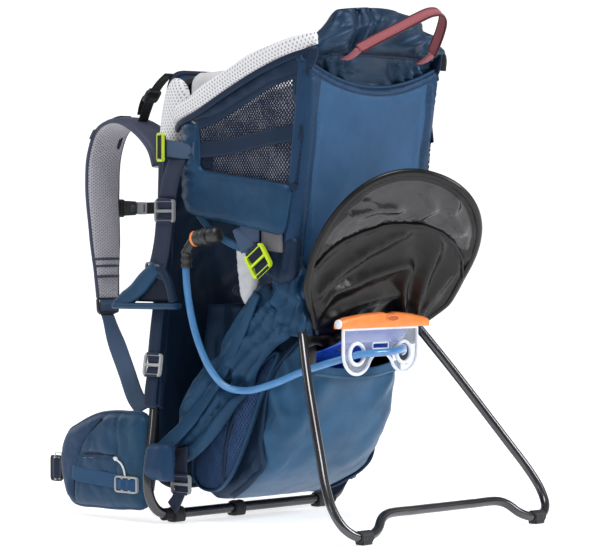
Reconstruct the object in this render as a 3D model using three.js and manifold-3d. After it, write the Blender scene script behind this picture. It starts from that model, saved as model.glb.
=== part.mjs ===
// Child carrier backpack standing on its base bar and its opened kickstand.
// Millimetres. +X is the wearer's right, +Y points towards the wearer, +Z is up.
// Inside the group, Y = 0 is the plane of the base bar; the group is then moved so that
// the origin lies on the ground, under the middle of the whole object.
import * as THREE from 'three';
import { mergeVertices } from 'three/addons/utils/BufferGeometryUtils.js';
import Module from 'manifold-3d';

const wasm = await Module();
wasm.setup();

// ---- driving dimensions ----------------------------------------------------------------
const BASE_BAR_Y = 71.87;          // base bar to the middle of the object's depth
const GAP = 0.4;                  // clearance between neighbours that touch
const FRAME_R = 7;                // main frame tube
const BASE_BAR_Z = 11.5;
const STAND_R = 6.25;             // kickstand tube
const STAND_FOOT_REACH = 344.5;   // pivot axis to the foot of the kickstand, along its plane
const STAND_BAR_REACH = 315;      // pivot axis to the raised middle bar
const STAND_LEAN = 32.7;          // degrees that the open kickstand leans rearward
const PIVOT = { x: 110, y: -190, z: 300 };
const PIN_R = 3;
const HOSE_R = 5;
const REAR_BASE = { y: -203, z: 345 };   // lower edge of the rear panel
const REAR_SLOPE = 0.132;                // rearward travel of the rear panel per mm of height
const REAR_HALF_WIDTH = 135;
const PANEL_THICKNESS = 9;
const SIDE_X = 140;               // middle of the cockpit side panels
const STRAP_X = 92;               // middle of the shoulder straps
const STRAP_WIDTH = 64;
const FIN_X = 181;                // middle of the hip fins at their root
const STIRRUP_X = 172;
const LID = { y: -209, z: 264, halfWidth: 128, baseHalfWidth: 92, height: 258, lean: 36, twist: 18, shift: -13 };
const HANDLE = { halfSpan: 75, y: -275, z: 643, reach: 70, lean: 41 };
const SLIDER = { low: -98, high: 78, y: -259, z: 271 };

const SIDES = [{ name: 'left', sign: -1 }, { name: 'right', sign: 1 }];

// ---- materials -------------------------------------------------------------------------
function finish(color, roughness, metalness = 0) {
  return { color, roughness, metalness };
}
const TUBE_METAL = finish('#4a4a4d', 0.35, 0.8);
const STEEL = finish('#9a9da1', 0.3, 1);
const BLACK_PLASTIC = finish('#1b1c1e', 0.5);
const GREY_PLASTIC = finish('#5f6368', 0.5);
const LIME_PLASTIC = finish('#c9e12b', 0.45);
const ORANGE_PLASTIC = finish('#ee7a2c', 0.4);
const CLEAR_PLASTIC = finish('#e4eaf2', 0.3);
const RUBBER = finish('#202124', 0.8);
const BLUE_FABRIC = finish('#2b5a85', 0.75);
const NAVY_FABRIC = finish('#1d2f4a', 0.85);
const NAVY_MESH = finish('#223452', 0.9);
const GREY_MESH = finish('#bcbdc1', 0.9);
const SLATE_WEBBING = finish('#5b7187', 0.8);
const MAROON_WEBBING = finish('#8d4f57', 0.8);
const BLACK_LINING = finish('#2a292c', 0.45);
const BLUE_FILM = finish('#2f63c9', 0.3);
const HOSE_BLUE = finish('#6fa6e0', 0.3);

const carrier = new THREE.Group();
carrier.position.y = BASE_BAR_Y;

function add(name, geometry, look) {
  const mesh = new THREE.Mesh(geometry, new THREE.MeshStandardMaterial(look));
  mesh.name = name;
  carrier.add(mesh);
  return mesh;
}

// ---- geometry helpers ------------------------------------------------------------------
const radians = THREE.MathUtils.degToRad;
const clamp = THREE.MathUtils.clamp;
const lerp = THREE.MathUtils.lerp;

// Rear panel's outer face at a height.
function rearY(z) {
  return REAR_BASE.y - REAR_SLOPE * (z - REAR_BASE.z);
}

// Middle of the back panel at a height: upright below, leaning towards the wearer above.
function backY(z) {
  const rise = clamp((z - 200) / 400, 0, 1.2);
  return 36 + 30 * rise * rise;
}

// Back panel's half width at a height.
function backHalfWidth(z) {
  return lerp(150, 104, clamp((z - 150) / 450, 0, 1));
}

function toSolid(geometry) {
  const bare = geometry.clone();
  bare.deleteAttribute('normal');
  bare.deleteAttribute('uv');
  const merged = mergeVertices(bare, 1e-4);
  const vertProperties = new Float32Array(merged.attributes.position.array);
  const triVerts = new Uint32Array(merged.index.array);
  return new wasm.Manifold(new wasm.Mesh({ numProp: 3, vertProperties, triVerts }));
}

function fromSolid(solid) {
  const mesh = solid.getMesh();
  const geometry = new THREE.BufferGeometry();
  geometry.setAttribute('position', new THREE.BufferAttribute(mesh.vertProperties, 3));
  geometry.setIndex(new THREE.BufferAttribute(mesh.triVerts, 1));
  geometry.computeVertexNormals();
  return geometry;
}

function cut(geometry, ...tools) {
  const solid = tools.reduce((rest, tool) => rest.subtract(toSolid(tool)), toSolid(geometry));
  return fromSolid(solid);
}

function join(geometry, ...others) {
  const solid = others.reduce((sum, other) => sum.add(toSolid(other)), toSolid(geometry));
  return fromSolid(solid);
}

// Moves every corner of a geometry with bend(point).
function warp(geometry, bend) {
  const position = geometry.attributes.position;
  const point = new THREE.Vector3();
  for (let i = 0; i < position.count; i += 1) {
    point.fromBufferAttribute(position, i);
    bend(point);
    position.setXYZ(i, point.x, point.y, point.z);
  }
  geometry.computeVertexNormals();
  return geometry;
}

function box(x, y, z, width, depth, height, segments = [1, 1, 1]) {
  return new THREE.BoxGeometry(width, depth, height, ...segments).translate(x, y, z);
}

// Cylinder along X.
function rodX(x, y, z, radius, length, sides = 16) {
  return new THREE.CylinderGeometry(radius, radius, length, sides).rotateZ(Math.PI / 2).translate(x, y, z);
}

function ring(radius, sides) {
  const points = [];
  for (let i = 0; i < sides; i += 1) {
    const angle = (2 * Math.PI * i) / sides;
    points.push(new THREE.Vector2(radius * Math.cos(angle), radius * Math.sin(angle)));
  }
  return points;
}

function tube(points, radius, steps, sides = 10) {
  const route = new THREE.CatmullRomCurve3(points.map((p) => new THREE.Vector3(...p)), false, 'centripetal');
  const section = new THREE.Shape(ring(radius, sides));
  return new THREE.ExtrudeGeometry(section, { steps, extrudePath: route, bevelEnabled: false });
}

function outline(points) {
  return new THREE.Shape(points.map(([u, v]) => new THREE.Vector2(u, v)));
}

// Shape (u, v) laid in the Y-Z plane and given a width along X, with its edges rounded by edge.
function plateX(shape, x, width, edge = 0) {
  const geometry = new THREE.ExtrudeGeometry(shape, {
    depth: width - 2 * edge,
    curveSegments: 8,
    bevelEnabled: edge > 0,
    bevelThickness: edge,
    bevelSize: edge,
    bevelOffset: -edge,
    bevelSegments: 2,
  });
  geometry.translate(0, 0, edge - width / 2);
  const turn = new THREE.Matrix4().makeBasis(
    new THREE.Vector3(0, 1, 0),
    new THREE.Vector3(0, 0, 1),
    new THREE.Vector3(1, 0, 0),
  );
  return geometry.applyMatrix4(turn).translate(x, 0, 0);
}

// Shape (u, v) laid in the X-Z plane and given a thickness along Y.
function plateY(shape, y, thickness) {
  const geometry = new THREE.ExtrudeGeometry(shape, { depth: thickness, curveSegments: 10, bevelEnabled: false });
  return geometry.translate(0, 0, -thickness / 2).rotateX(Math.PI / 2).translate(0, y, 0);
}

// A band of even thickness along a curve in the Y-Z plane, with its width along X.
function band(points, thickness, x, width, samples = 16) {
  const curve = new THREE.SplineCurve(points.map(([y, z]) => new THREE.Vector2(y, z)));
  const upper = [];
  const lower = [];
  for (let i = 0; i <= samples; i += 1) {
    const middle = curve.getPoint(i / samples);
    const along = curve.getTangent(i / samples);
    const across = new THREE.Vector2(-along.y, along.x).multiplyScalar(thickness / 2);
    upper.push(middle.clone().add(across));
    lower.unshift(middle.clone().sub(across));
  }
  return plateX(new THREE.Shape([...upper, ...lower]), x, width);
}

// Cushion of even outline whose faces are crowned by bulge in the middle.
function cushion(x, y, z, width, depth, height, bulge) {
  const block = new THREE.BoxGeometry(width, depth, height, 6, 1, 6);
  warp(block, (p) => {
    const u = (2 * p.x) / width;
    const v = (2 * p.z) / height;
    const crown = (1 - u * u) * (1 - v * v);
    p.y += Math.sign(p.y) * bulge * (crown - 1);
    p.x *= 1 - 0.05 * v * v;
    p.z *= 1 - 0.03 * u * u;
  });
  return block.translate(x, y, z);
}

// Flat adjuster buckle, normal along X, centred on the origin, with its corners taken off.
function ladderLock(thickness, width, height) {
  const w = width / 2;
  const h = height / 2;
  const c = 4;
  const shape = outline([
    [-w + c, -h], [w - c, -h], [w, -h + c], [w, h - c], [w - c, h], [-w + c, h], [-w, h - c], [-w, -h + c],
  ]);
  return plateX(shape, 0, thickness);
}

// ---- frame -----------------------------------------------------------------------------
function mainFrame() {
  const right = [
    [60, 0, BASE_BAR_Z],
    [130, 0, BASE_BAR_Z],
    [160, 0, BASE_BAR_Z + 0.2],
    [181, 0.5, 18],
    [194, 2, 36],
    [196, 4, 66],
    [181, 10, 130],
    [160, 20, 250],
    [132, 30, 430],
    [117, 39, 520],
    [104, 45, 575],
    [80, 49, 604],
    [40, 50, 612],
    [5, 50, 612],
  ];
  const left = right.map(([x, y, z]) => [-x, y, z]).reverse();
  add('main_frame', tube([...left, ...right], FRAME_R, 92), TUBE_METAL);
}

function rearFrame() {
  const right = [
    [40, -214, 561],
    [74, -214, 559],
    [98, -212, 546],
    [107, -209, 520],
    [111, -199, 440],
    [112, -190, 380],
    [112, -187, 328],
  ];
  const left = right.map(([x, y, z]) => [-x, y, z]).reverse();
  add('rear_frame', tube([...left, ...right], 6, 52), TUBE_METAL);
}

function struts() {
  for (const { name, sign } of SIDES) {
    const route = [
      [sign * 119, -164, 288],
      [sign * 135, -93, 206],
      [sign * 150, -32, 140],
      [sign * 164, 2, 112],
    ];
    add(`side_strut_${name}`, tube(route, 8, 18), TUBE_METAL);
  }
}

function hinges() {
  for (const { name, sign } of SIDES) {
    const x = sign * (PIVOT.x + 2);
    const body = box(x, PIVOT.y, PIVOT.z + 6, 30, 38, 40);
    const slot = box(sign * PIVOT.x, PIVOT.y, PIVOT.z - 10, 14, 60, 44);
    const bore = rodX(x, PIVOT.y, PIVOT.z, PIN_R + GAP, 60);
    add(`hinge_housing_${name}`, cut(body, slot, bore), BLACK_PLASTIC);
    add(`hinge_pin_${name}`, rodX(x, PIVOT.y, PIVOT.z, PIN_R, 30), STEEL);
  }
}

// The kickstand is drawn flat, x across and r away from the pivot axis, then leaned back.
function leanBack(geometry) {
  return geometry.rotateX(-radians(STAND_LEAN)).translate(0, PIVOT.y, PIVOT.z);
}

function kickstand() {
  const right = [
    [0, STAND_BAR_REACH],
    [60, STAND_BAR_REACH],
    [112, STAND_BAR_REACH + 1],
    [128, STAND_BAR_REACH + 7],
    [144, STAND_BAR_REACH + 21],
    [160, STAND_FOOT_REACH - 1.5],
    [176, STAND_FOOT_REACH],
    [192, STAND_FOOT_REACH - 3],
    [206, 328],
    [211, 304],
    [206, 274],
    [190, 228],
    [150, 118],
    [128, 64],
    [117, 38],
    [111, 20],
    [110, 4],
  ];
  const toPoint = ([x, r]) => [x, 0, -r];
  const left = right.slice(1).map(([x, r]) => [-x, r]).reverse();
  const hoop = tube([...left, ...right].map(toPoint), STAND_R, 96);
  const eyes = SIDES.map(({ sign }) => rodX(sign * PIVOT.x, 0, 0, 9, 12.6, 20));
  const bores = SIDES.map(({ sign }) => rodX(sign * PIVOT.x, 0, 0, PIN_R + GAP, 40));
  add('kickstand', leanBack(cut(join(hoop, ...eyes), ...bores)), TUBE_METAL);
  for (const { name, sign } of SIDES) {
    const footY = PIVOT.y - STAND_FOOT_REACH * Math.sin(radians(STAND_LEAN));
    const footZ = PIVOT.z - STAND_FOOT_REACH * Math.cos(radians(STAND_LEAN));
    const pad = box(sign * 176, footY, footZ / 2 - 1.5, 22, 15, footZ - 3);
    add(`kickstand_foot_${name}`, cut(pad, rodX(sign * 176, footY, footZ, STAND_R + 1.4, 60, 24)), RUBBER);
  }
}

function baseFeet() {
  const places = [['left', -146], ['middle', -28], ['right', 143]];
  for (const [name, x] of places) {
    const shape = outline([[-9, 0], [9, 0], [10.5, 8], [9.5, 16], [4, 21.5], [-4, 21.5], [-9.5, 16], [-10.5, 8]]);
    shape.holes.push(new THREE.Path(ring(FRAME_R + 1, 16).map((p) => p.add(new THREE.Vector2(0, BASE_BAR_Z)))));
    add(`base_foot_${name}`, plateX(shape, x, 18), RUBBER);
  }
}

// ---- back system -----------------------------------------------------------------------
function backPanel() {
  const low = 44;
  const high = 622;
  const slab = new THREE.BoxGeometry(2, 16, high - low, 2, 1, 10).translate(0, 0, (low + high) / 2);
  warp(slab, (p) => {
    p.x *= backHalfWidth(p.z);
    p.y += backY(p.z);
  });
  add('back_panel', slab, NAVY_FABRIC);
}

// Pad lying on the wearer's face of the back panel.
function panelPad(name, x, low, high, width, thickness, look) {
  const pad = cushion(0, 0, 0, width, thickness, high - low, thickness * 0.3);
  pad.translate(x, 0, (low + high) / 2);
  warp(pad, (p) => {
    const face = backY(p.z) + 8 + GAP;
    p.y = face + Math.max(0, p.y + thickness / 2) * 0.98;
  });
  add(name, pad, look);
}

function backPads() {
  panelPad('lumbar_pad', 0, 72, 196, 272, 24, GREY_MESH);
  panelPad('upper_back_pad', 0, 541, 617, 156, 18, GREY_MESH);
  for (const { name, sign } of SIDES) {
    panelPad(`back_pad_${name}`, sign * 62, 208, 478, 72, 18, GREY_MESH);
  }
}

// ---- shoulder harness ------------------------------------------------------------------
const STRAP_ROUTE = [
  [71, 490],
  [80, 514],
  [110, 541],
  [150, 555],
  [184, 544],
  [203, 508],
  [207, 455],
  [203, 400],
  [199, 345],
  [196, 304],
];

function shoulderStraps() {
  for (const { name, sign } of SIDES) {
    const x = sign * STRAP_X;
    add(`shoulder_strap_${name}`, band(STRAP_ROUTE, 14, x, STRAP_WIDTH, 20), GREY_MESH);
    const lifter = [[120, 556], [110, 581], [96, 600], [81, 611]];
    add(`load_lifter_${name}`, band(lifter, 2.4, x, 20, 8), BLACK_PLASTIC);
    add(`strap_buckle_${name}`, box(x, 197, 292, 40, 8, 22), BLACK_PLASTIC);
    const webbing = band([[194, 280], [172, 244], [127, 201], [92, 172], [60, 158]], 2.4, 0, 25, 12);
    warp(webbing, (p) => {
      p.x += sign * lerp(STRAP_X, 152, clamp((280 - p.z) / 106, 0, 1));
    });
    add(`strap_webbing_${name}`, webbing, SLATE_WEBBING);
  }
}

function sternumStrap() {
  add('sternum_buckle_socket', box(-42, 206, 432, 27, 9, 22), BLACK_PLASTIC);
  add('sternum_buckle_plug', box(-18, 206, 432, 20, 7, 18), BLACK_PLASTIC);
  add('sternum_webbing', box(25.5, 206, 432, 66, 2.4, 18, [4, 1, 1]), SLATE_WEBBING);
}

// ---- hip belt --------------------------------------------------------------------------
function finBend(p) {
  const along = clamp((p.y - 18) / 190, 0, 1.2);
  p.x -= Math.sign(p.x) * 14 * along * along;
}

function hipBelt() {
  const shape = outline([
    [20, 26],
    [60, 18],
    [120, 16],
    [182, 19],
    [198, 42],
    [206, 70],
    [202, 96],
    [190, 116],
    [168, 127],
    [120, 144],
    [60, 149],
    [20, 144],
  ]);
  for (const { name, sign } of SIDES) {
    const fin = plateX(shape, sign * FIN_X, 28, 6);
    add(`hip_fin_${name}`, warp(fin, finBend), NAVY_FABRIC);
    const buckle = ladderLock(7, 32, 36).rotateX(radians(-6)).translate(sign * (FIN_X - 14), 222.5, 62);
    add(`hip_buckle_${name}`, buckle, GREY_PLASTIC);
  }
}

// ---- cockpit ---------------------------------------------------------------------------
function cockpit() {
  const side = outline([
    [10, 456],
    [-33, 430],
    [-119, 404],
    [-206, 388],
    [-237, 622],
    [-222, 630],
    [-160, 616],
    [-90, 590],
    [-30, 565],
    [4, 549],
  ]);
  for (const { name, sign } of SIDES) {
    add(`cockpit_side_${name}`, plateX(side, sign * SIDE_X, 7, 2), BLUE_FABRIC);
    const rim = [
      [sign * 143, -256, 664],
      [sign * 143, -216, 648],
      [sign * 142, -160, 632],
      [sign * 142, -90, 606],
      [sign * 142, -30, 581],
      [sign * 137, 6, 566],
      [sign * 124, 22, 552],
    ];
    add(`cockpit_rim_${name}`, tube(rim, 12, 24), GREY_MESH);
    const sideLock = ladderLock(5, 27, 40).translate(sign * (SIDE_X + 7), 34, 516);
    add(`side_buckle_${name}`, sideLock, LIME_PLASTIC);
    const legLock = ladderLock(5, 27, 40).rotateX(radians(-35)).translate(sign * (SIDE_X + 7), -151, 361);
    add(`leg_buckle_${name}`, legLock, LIME_PLASTIC);
  }
  add('chin_pad', cushion(0, 20, 572, 204, 26, 112, 8), GREY_MESH);
}

function childSeat() {
  const seat = cushion(0, 0, 0, 160, 22, 140, 6).rotateX(Math.PI / 2).translate(0, -92, 319);
  add('seat_pad', seat, NAVY_FABRIC);
  const seatBack = new THREE.BoxGeometry(170, 13, 220, 4, 1, 4);
  warp(seatBack, (p) => {
    p.z += 450;
    p.y += rearY(p.z) + 31;
  });
  add('seat_back_pad', seatBack, GREY_MESH);
  const straps = [
    [-50, 540], [-50, 420], [-14, 372], [-14, 345], [14, 345], [14, 372], [50, 420], [50, 540],
    [24, 540], [24, 428], [0, 400], [-24, 428], [-24, 540],
  ];
  const harness = plateY(outline(straps), 0, 4);
  warp(harness, (p) => {
    p.y += rearY(p.z) + 41;
  });
  add('child_harness', harness, SLATE_WEBBING);
}

// ---- rear ------------------------------------------------------------------------------
function rearPanel() {
  const w = REAR_HALF_WIDTH;
  const shape = new THREE.Shape();
  shape.moveTo(-w + 3, REAR_BASE.z);
  shape.lineTo(-w, 629);
  shape.quadraticCurveTo(0, 560, w, 629);
  shape.lineTo(w - 3, REAR_BASE.z);
  shape.closePath();
  const panel = plateY(shape, 0, PANEL_THICKNESS);
  warp(panel, (p) => {
    p.y += rearY(p.z) + PANEL_THICKNESS / 2;
  });
  add('rear_panel', panel, BLUE_FABRIC);
}

function topCap() {
  const low = 572;
  const high = 702;
  const block = new THREE.BoxGeometry(2, 2, high - low, 6, 2, 13).translate(0, 0, (low + high) / 2);
  warp(block, (p) => {
    const overHem = clamp((p.z - 633) / 16, 0, 1);
    const rounding = clamp((p.z - 668) / 34, 0, 1);
    const rear = rearY(p.z) + lerp(PANEL_THICKNESS + GAP, -17, overHem) + 10 * rounding * rounding;
    const front = -200 - 14 * rounding * rounding;
    const corner = 1 - 0.1 * p.x * p.x * (0.4 + rounding);
    p.x *= lerp(128, 98, clamp((p.z - 644) / 58, 0, 1));
    p.y = (rear + front) / 2 + (p.y * (front - rear)) / 2 * corner;
    p.z -= 8 * rounding * (p.x / 98) * (p.x / 98);
  });
  add('top_cap', block, BLUE_FABRIC);
}

function carryHandle() {
  const curve = new THREE.CatmullRomCurve3(
    [[-1, 0], [-0.68, 0.27], [-0.33, 0.54], [0, 0.8], [0.25, 0.96], [0.48, 0.98], [0.68, 0.84], [0.84, 0.5], [0.97, 0]]
      .map(([u, v]) => new THREE.Vector3(u * HANDLE.halfSpan, 0, v * HANDLE.reach)),
    false,
    'centripetal',
  );
  const inner = [];
  const outer = [];
  const samples = 24;
  for (let i = 0; i <= samples; i += 1) {
    const middle = curve.getPoint(i / samples);
    const along = curve.getTangent(i / samples);
    const across = new THREE.Vector2(-along.z, along.x).multiplyScalar(2);
    outer.push(new THREE.Vector2(middle.x + across.x, middle.z + across.y));
    inner.unshift(new THREE.Vector2(middle.x - across.x, middle.z - across.y));
  }
  const arch = plateY(new THREE.Shape([...outer, ...inner]), 0, 22);
  arch.rotateX(radians(HANDLE.lean)).translate(0, HANDLE.y, HANDLE.z);
  add('carry_handle', arch, MAROON_WEBBING);
}

// ---- storage ---------------------------------------------------------------------------
function bagNarrowing(p) {
  p.x *= lerp(1, 0.82, clamp((p.z - 190) / 100, 0, 1));
}

function storageBag() {
  const outer = outline([
    [14, 70],
    [6, 48],
    [-30, 34],
    [-84, 31],
    [-120, 44],
    [-148, 72],
    [-174, 120],
    [-189, 165],
    [-196, 210],
    [-200, 262],
    [-200, 298],
    [14, 298],
  ]);
  const inner = outline([
    [8, 74],
    [0, 54],
    [-34, 40],
    [-82, 37],
    [-116, 50],
    [-143, 77],
    [-168, 122],
    [-183, 166],
    [-190, 210],
    [-194, 262],
    [-194, 292],
    [8, 292],
  ]);
  const shell = warp(plateX(outer, 0, 224, 12), bagNarrowing);
  const hollow = warp(plateX(inner, 0, 212, 8), bagNarrowing);
  const mouth = box(0, -200, 236, 170, 30, 44);
  add('storage_bag', cut(shell, hollow, mouth), BLUE_FABRIC);
}

// Open-topped pouch on each side of the bag.
function sidePockets() {
  const outer = outline([[6, 62], [-30, 40], [-84, 37], [-118, 50], [-140, 76], [-112, 140], [6, 148]]);
  const inner = outline([[0, 66], [-32, 46], [-82, 43], [-114, 55], [-133, 78], [-106, 152], [0, 162]]);
  for (const { name, sign } of SIDES) {
    const x = sign * 124;
    add(`side_pocket_${name}`, cut(plateX(outer, x, 22, 3), plateX(inner, x, 16)), NAVY_MESH);
  }
}

// Half width of the lid at a distance from its hinge line.
function lidHalfWidth(reach) {
  const round = LID.halfWidth * Math.pow(1 - Math.pow(clamp(reach / LID.height, 0, 1), 2.2), 1 / 2.2);
  const taper = lerp(LID.baseHalfWidth, LID.halfWidth, Math.sin(clamp(reach / 90, 0, 1) * Math.PI / 2));
  return Math.min(round, taper);
}

function storageLid() {
  const right = [];
  const rows = 22;
  for (let i = 0; i < rows; i += 1) {
    const reach = LID.height * Math.sin((i / rows) * Math.PI / 2);
    right.push([lidHalfWidth(reach), reach]);
  }
  const left = right.map(([x, r]) => [-x, r]).reverse();
  const flat = plateY(outline([...right, [0, LID.height], ...left]), 0, 8);
  warp(flat, (p) => {
    const reach = p.z;
    const lean = radians(LID.lean + (LID.twist * p.x) / LID.halfWidth);
    p.x += LID.shift * clamp((reach - 30) / 90, 0, 1);
    const offset = p.y;
    p.y = LID.y - reach * Math.sin(lean) + offset * Math.cos(lean);
    p.z = LID.z + reach * Math.cos(lean) + offset * Math.sin(lean);
  });
  add('storage_lid', flat, BLACK_LINING);
}

// ---- hydration -------------------------------------------------------------------------
// Points of the hose from inside the bag, through the hanger plate, to the bite valve.
const HOSE_ROUTE = [
  [77, -172, 231],
  [73, -200, 234],
  [58, -228, 235],
  [40, -252, 237],
  [26, -264.5, 243],
  [6, -276, 241],
  [-20, -279, 239],
  [-46, -275, 238],
  [-67, -264.5, 236],
  [-84, -250, 230],
  [-101, -231, 222],
  [-115, -205, 212],
  [-126, -170, 197],
  [-137, -130, 186],
  [-148, -100, 190],
  [-155, -78, 211],
  [-159, -57, 249],
  [-161, -44, 290],
  [-161, -36, 332],
  [-160, -35, 365],
  [-157, -46, 388],
];

function hydration() {
  const film = [[-130, 120], [-150, 176], [-168, 214], [-192, 234], [-222, 244], [-246, 254], [-258, 268], [-259, 280]];
  add('water_bladder', band(film, 5, -18, 130, 18), BLUE_FILM);
  const { low, high, y, z } = SLIDER;
  const channel = outline([
    [y - 8, z], [y - 3.6, z], [y - 3.6, z + 11], [y + 3.6, z + 11], [y + 3.6, z], [y + 8, z],
    [y + 8, z + 12], [y + 4, z + 17], [y - 4, z + 17], [y - 8, z + 12],
  ]);
  add('bladder_slider', plateX(channel, (low + high) / 2, high - low), ORANGE_PLASTIC);
  add('hanger_plate', hangerPlate(), CLEAR_PLASTIC);
  add('hose', tube(HOSE_ROUTE, HOSE_R, 78, 8), HOSE_BLUE);
}

// Cylinder along Y.
function rodY(x, y, z, radius, length, sides) {
  return new THREE.CylinderGeometry(radius, radius, length, sides).translate(x, y, z);
}

// Plate with two lobes, each with a round hole that the hose is threaded through.
function hangerPlate() {
  const lobes = [-67, 27];
  const lobeZ = 237;
  const lobeR = 27;
  const y = -264.5;
  const top = SLIDER.z - GAP;
  const middle = (lobes[0] + lobes[1]) / 2;
  const web = box(middle, y, (top + lobeZ) / 2, lobes[1] - lobes[0] + 2 * lobeR, 3, top - lobeZ);
  const rounds = lobes.map((x) => rodY(x, y, lobeZ, lobeR, 3, 28));
  const holes = lobes.map((x) => rodY(x, y, lobeZ, 14, 12, 20));
  const arch = rodY(middle, y, lobeZ - 26, 27, 12, 24);
  const slot = box(middle, y, lobeZ + 10, 32, 12, 8);
  return cut(join(web, ...rounds), ...holes, arch, slot);
}

// Bite valve on the hose's end, pointing rearward and slightly up.
function biteValve() {
  const place = (geometry) => geometry.rotateX(radians(98)).rotateZ(radians(-4)).translate(-156.5, -52, 391);
  const body = new THREE.LatheGeometry(
    [[0, 0], [7, 0], [7, 6], [9.5, 9], [9.5, 17], [8, 24], [10, 30], [9, 37], [0, 38]]
      .map(([r, h]) => new THREE.Vector2(r, h)),
    14,
  );
  add('bite_valve', place(body), BLACK_PLASTIC);
}

// ---- stirrups --------------------------------------------------------------------------
function stirrups() {
  const loop = outline([
    [-28, 420], [-8, 420], [33, 350], [96, 304], [96, 292], [-30, 290], [-30, 302], [8, 350],
  ]);
  loop.holes.push(new THREE.Path([[4, 304], [60, 306], [22, 336]].map(([y, z]) => new THREE.Vector2(y, z))));
  for (const { name, sign } of SIDES) {
    add(`stirrup_${name}`, plateX(loop, sign * STIRRUP_X, 4), NAVY_FABRIC);
  }
}

mainFrame();
rearFrame();
struts();
hinges();
kickstand();
baseFeet();
backPanel();
backPads();
shoulderStraps();
sternumStrap();
hipBelt();
cockpit();
childSeat();
rearPanel();
topCap();
carryHandle();
storageBag();
sidePockets();
storageLid();
hydration();
biteValve();
stirrups();

export default carrier;
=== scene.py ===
"""Child carrier backpack: the visible pieces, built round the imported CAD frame.

Lengths inside the builders are millimetres: X towards the wearer's right, Y towards the
wearer with 0 at the base bar, Z up from the ground. world() turns them into the row frame.
"""
import math

import bmesh
import bpy
import numpy as np
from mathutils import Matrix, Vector
from mathutils.geometry import delaunay_2d_cdt

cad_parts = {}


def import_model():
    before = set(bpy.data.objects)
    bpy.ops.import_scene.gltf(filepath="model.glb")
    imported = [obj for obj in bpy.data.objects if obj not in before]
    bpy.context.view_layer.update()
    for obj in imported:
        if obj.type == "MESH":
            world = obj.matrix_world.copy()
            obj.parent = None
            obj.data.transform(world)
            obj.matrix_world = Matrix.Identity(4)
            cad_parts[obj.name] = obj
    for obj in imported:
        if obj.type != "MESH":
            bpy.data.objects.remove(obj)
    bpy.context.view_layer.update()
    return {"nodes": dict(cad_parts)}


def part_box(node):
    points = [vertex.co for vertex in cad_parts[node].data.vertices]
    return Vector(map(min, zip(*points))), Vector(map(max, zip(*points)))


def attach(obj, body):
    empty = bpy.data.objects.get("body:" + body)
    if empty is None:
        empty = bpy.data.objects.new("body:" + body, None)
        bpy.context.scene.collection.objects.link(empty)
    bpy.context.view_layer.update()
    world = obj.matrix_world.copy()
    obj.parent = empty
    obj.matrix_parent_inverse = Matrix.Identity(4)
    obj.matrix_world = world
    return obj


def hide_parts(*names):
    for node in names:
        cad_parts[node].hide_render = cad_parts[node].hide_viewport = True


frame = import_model()

# ---- driving dimensions, in millimetres --------------------------------------------------
MM = 0.001
FOOT_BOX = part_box("base_foot_middle")
BASE_Y = (FOOT_BOX[0].y + FOOT_BOX[1].y) / 2 / MM     # row-frame Y of the base bar
FRAME_R = 7.0
STAND_R = 6.25
HOSE_R = 5.0
PIVOT = (110.0, -190.0, 300.0)
STAND_LEAN = math.radians(32.7)
STRAP_X = 92.0
FIN_X = 181.0
SIDE_X = 140.0
REAR_Z = 345.0
REAR_Y = -203.0
REAR_SLOPE = 0.132
REAR_HALF_WIDTH = 138.0
LID = {
    "y": -209.0, "z": 264.0, "half": 128.0, "base": 92.0, "height": 258.0,
    "lean": 36.0, "twist": 18.0, "shift": -13.0,
}
HANDLE = {"half": 75.0, "y": -275.0, "z": 643.0, "reach": 70.0, "lean": 41.0}
SLIDER = {"low": -98.0, "high": 78.0, "y": -259.0, "z": 271.0}
SIDES = (("left", -1.0), ("right", 1.0))
CAMERA = {"lens": 171.97, "place": (-2.93546, -2.80106, 0.42694), "tilt": 88.715, "heading": -46.685}
FLOOR_TURN = (0.686, -0.7277)     # cosine and sine of the camera's heading

HOSE_ROUTE = [
    (77, -172, 231), (73, -200, 234), (58, -228, 235), (40, -252, 237), (26, -264.5, 243),
    (6, -276, 241), (-20, -279, 239), (-46, -275, 238), (-67, -264.5, 236), (-84, -250, 230),
    (-101, -231, 222), (-115, -205, 212), (-126, -170, 197), (-137, -130, 186), (-148, -100, 190),
    (-155, -78, 211), (-159, -57, 249), (-161, -44, 290), (-161, -36, 332), (-160, -35, 365),
    (-157, -46, 388),
]


# ---- numbers -----------------------------------------------------------------------------
def world(points):
    """Millimetres from the base bar to metres in the row frame."""
    moved = np.array(points, float)
    moved[..., 1] += BASE_Y
    return moved * MM


def mix(a, b, t):
    """a at 0, b at 1."""
    return a + (b - a) * t


def ramp(x, low, high):
    """0 below low, 1 above high, smooth between."""
    t = np.clip((x - low) / (high - low), 0.0, 1.0)
    return t * t * (3 - 2 * t)


def bump_at(x, centre, width):
    """1 at the centre, falling to 0 on both sides."""
    return np.exp(-(((x - centre) / width) ** 2))


def waves(u, v, length, seed, octaves=4):
    """Smooth uneven surface between about -1 and 1, repeating over no visible distance."""
    rng = np.random.default_rng(seed)
    total = np.zeros(np.broadcast(u, v).shape)
    for octave in range(octaves):
        size = length / 1.7**octave
        for _ in range(3):
            angle = rng.uniform(0, math.tau)
            phase = rng.uniform(0, math.tau)
            along = (u * math.cos(angle) + v * math.sin(angle)) * math.tau / size
            total = total + np.sin(along + phase + 1.3 * total) / 1.8**octave
    return total / 4.0


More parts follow.
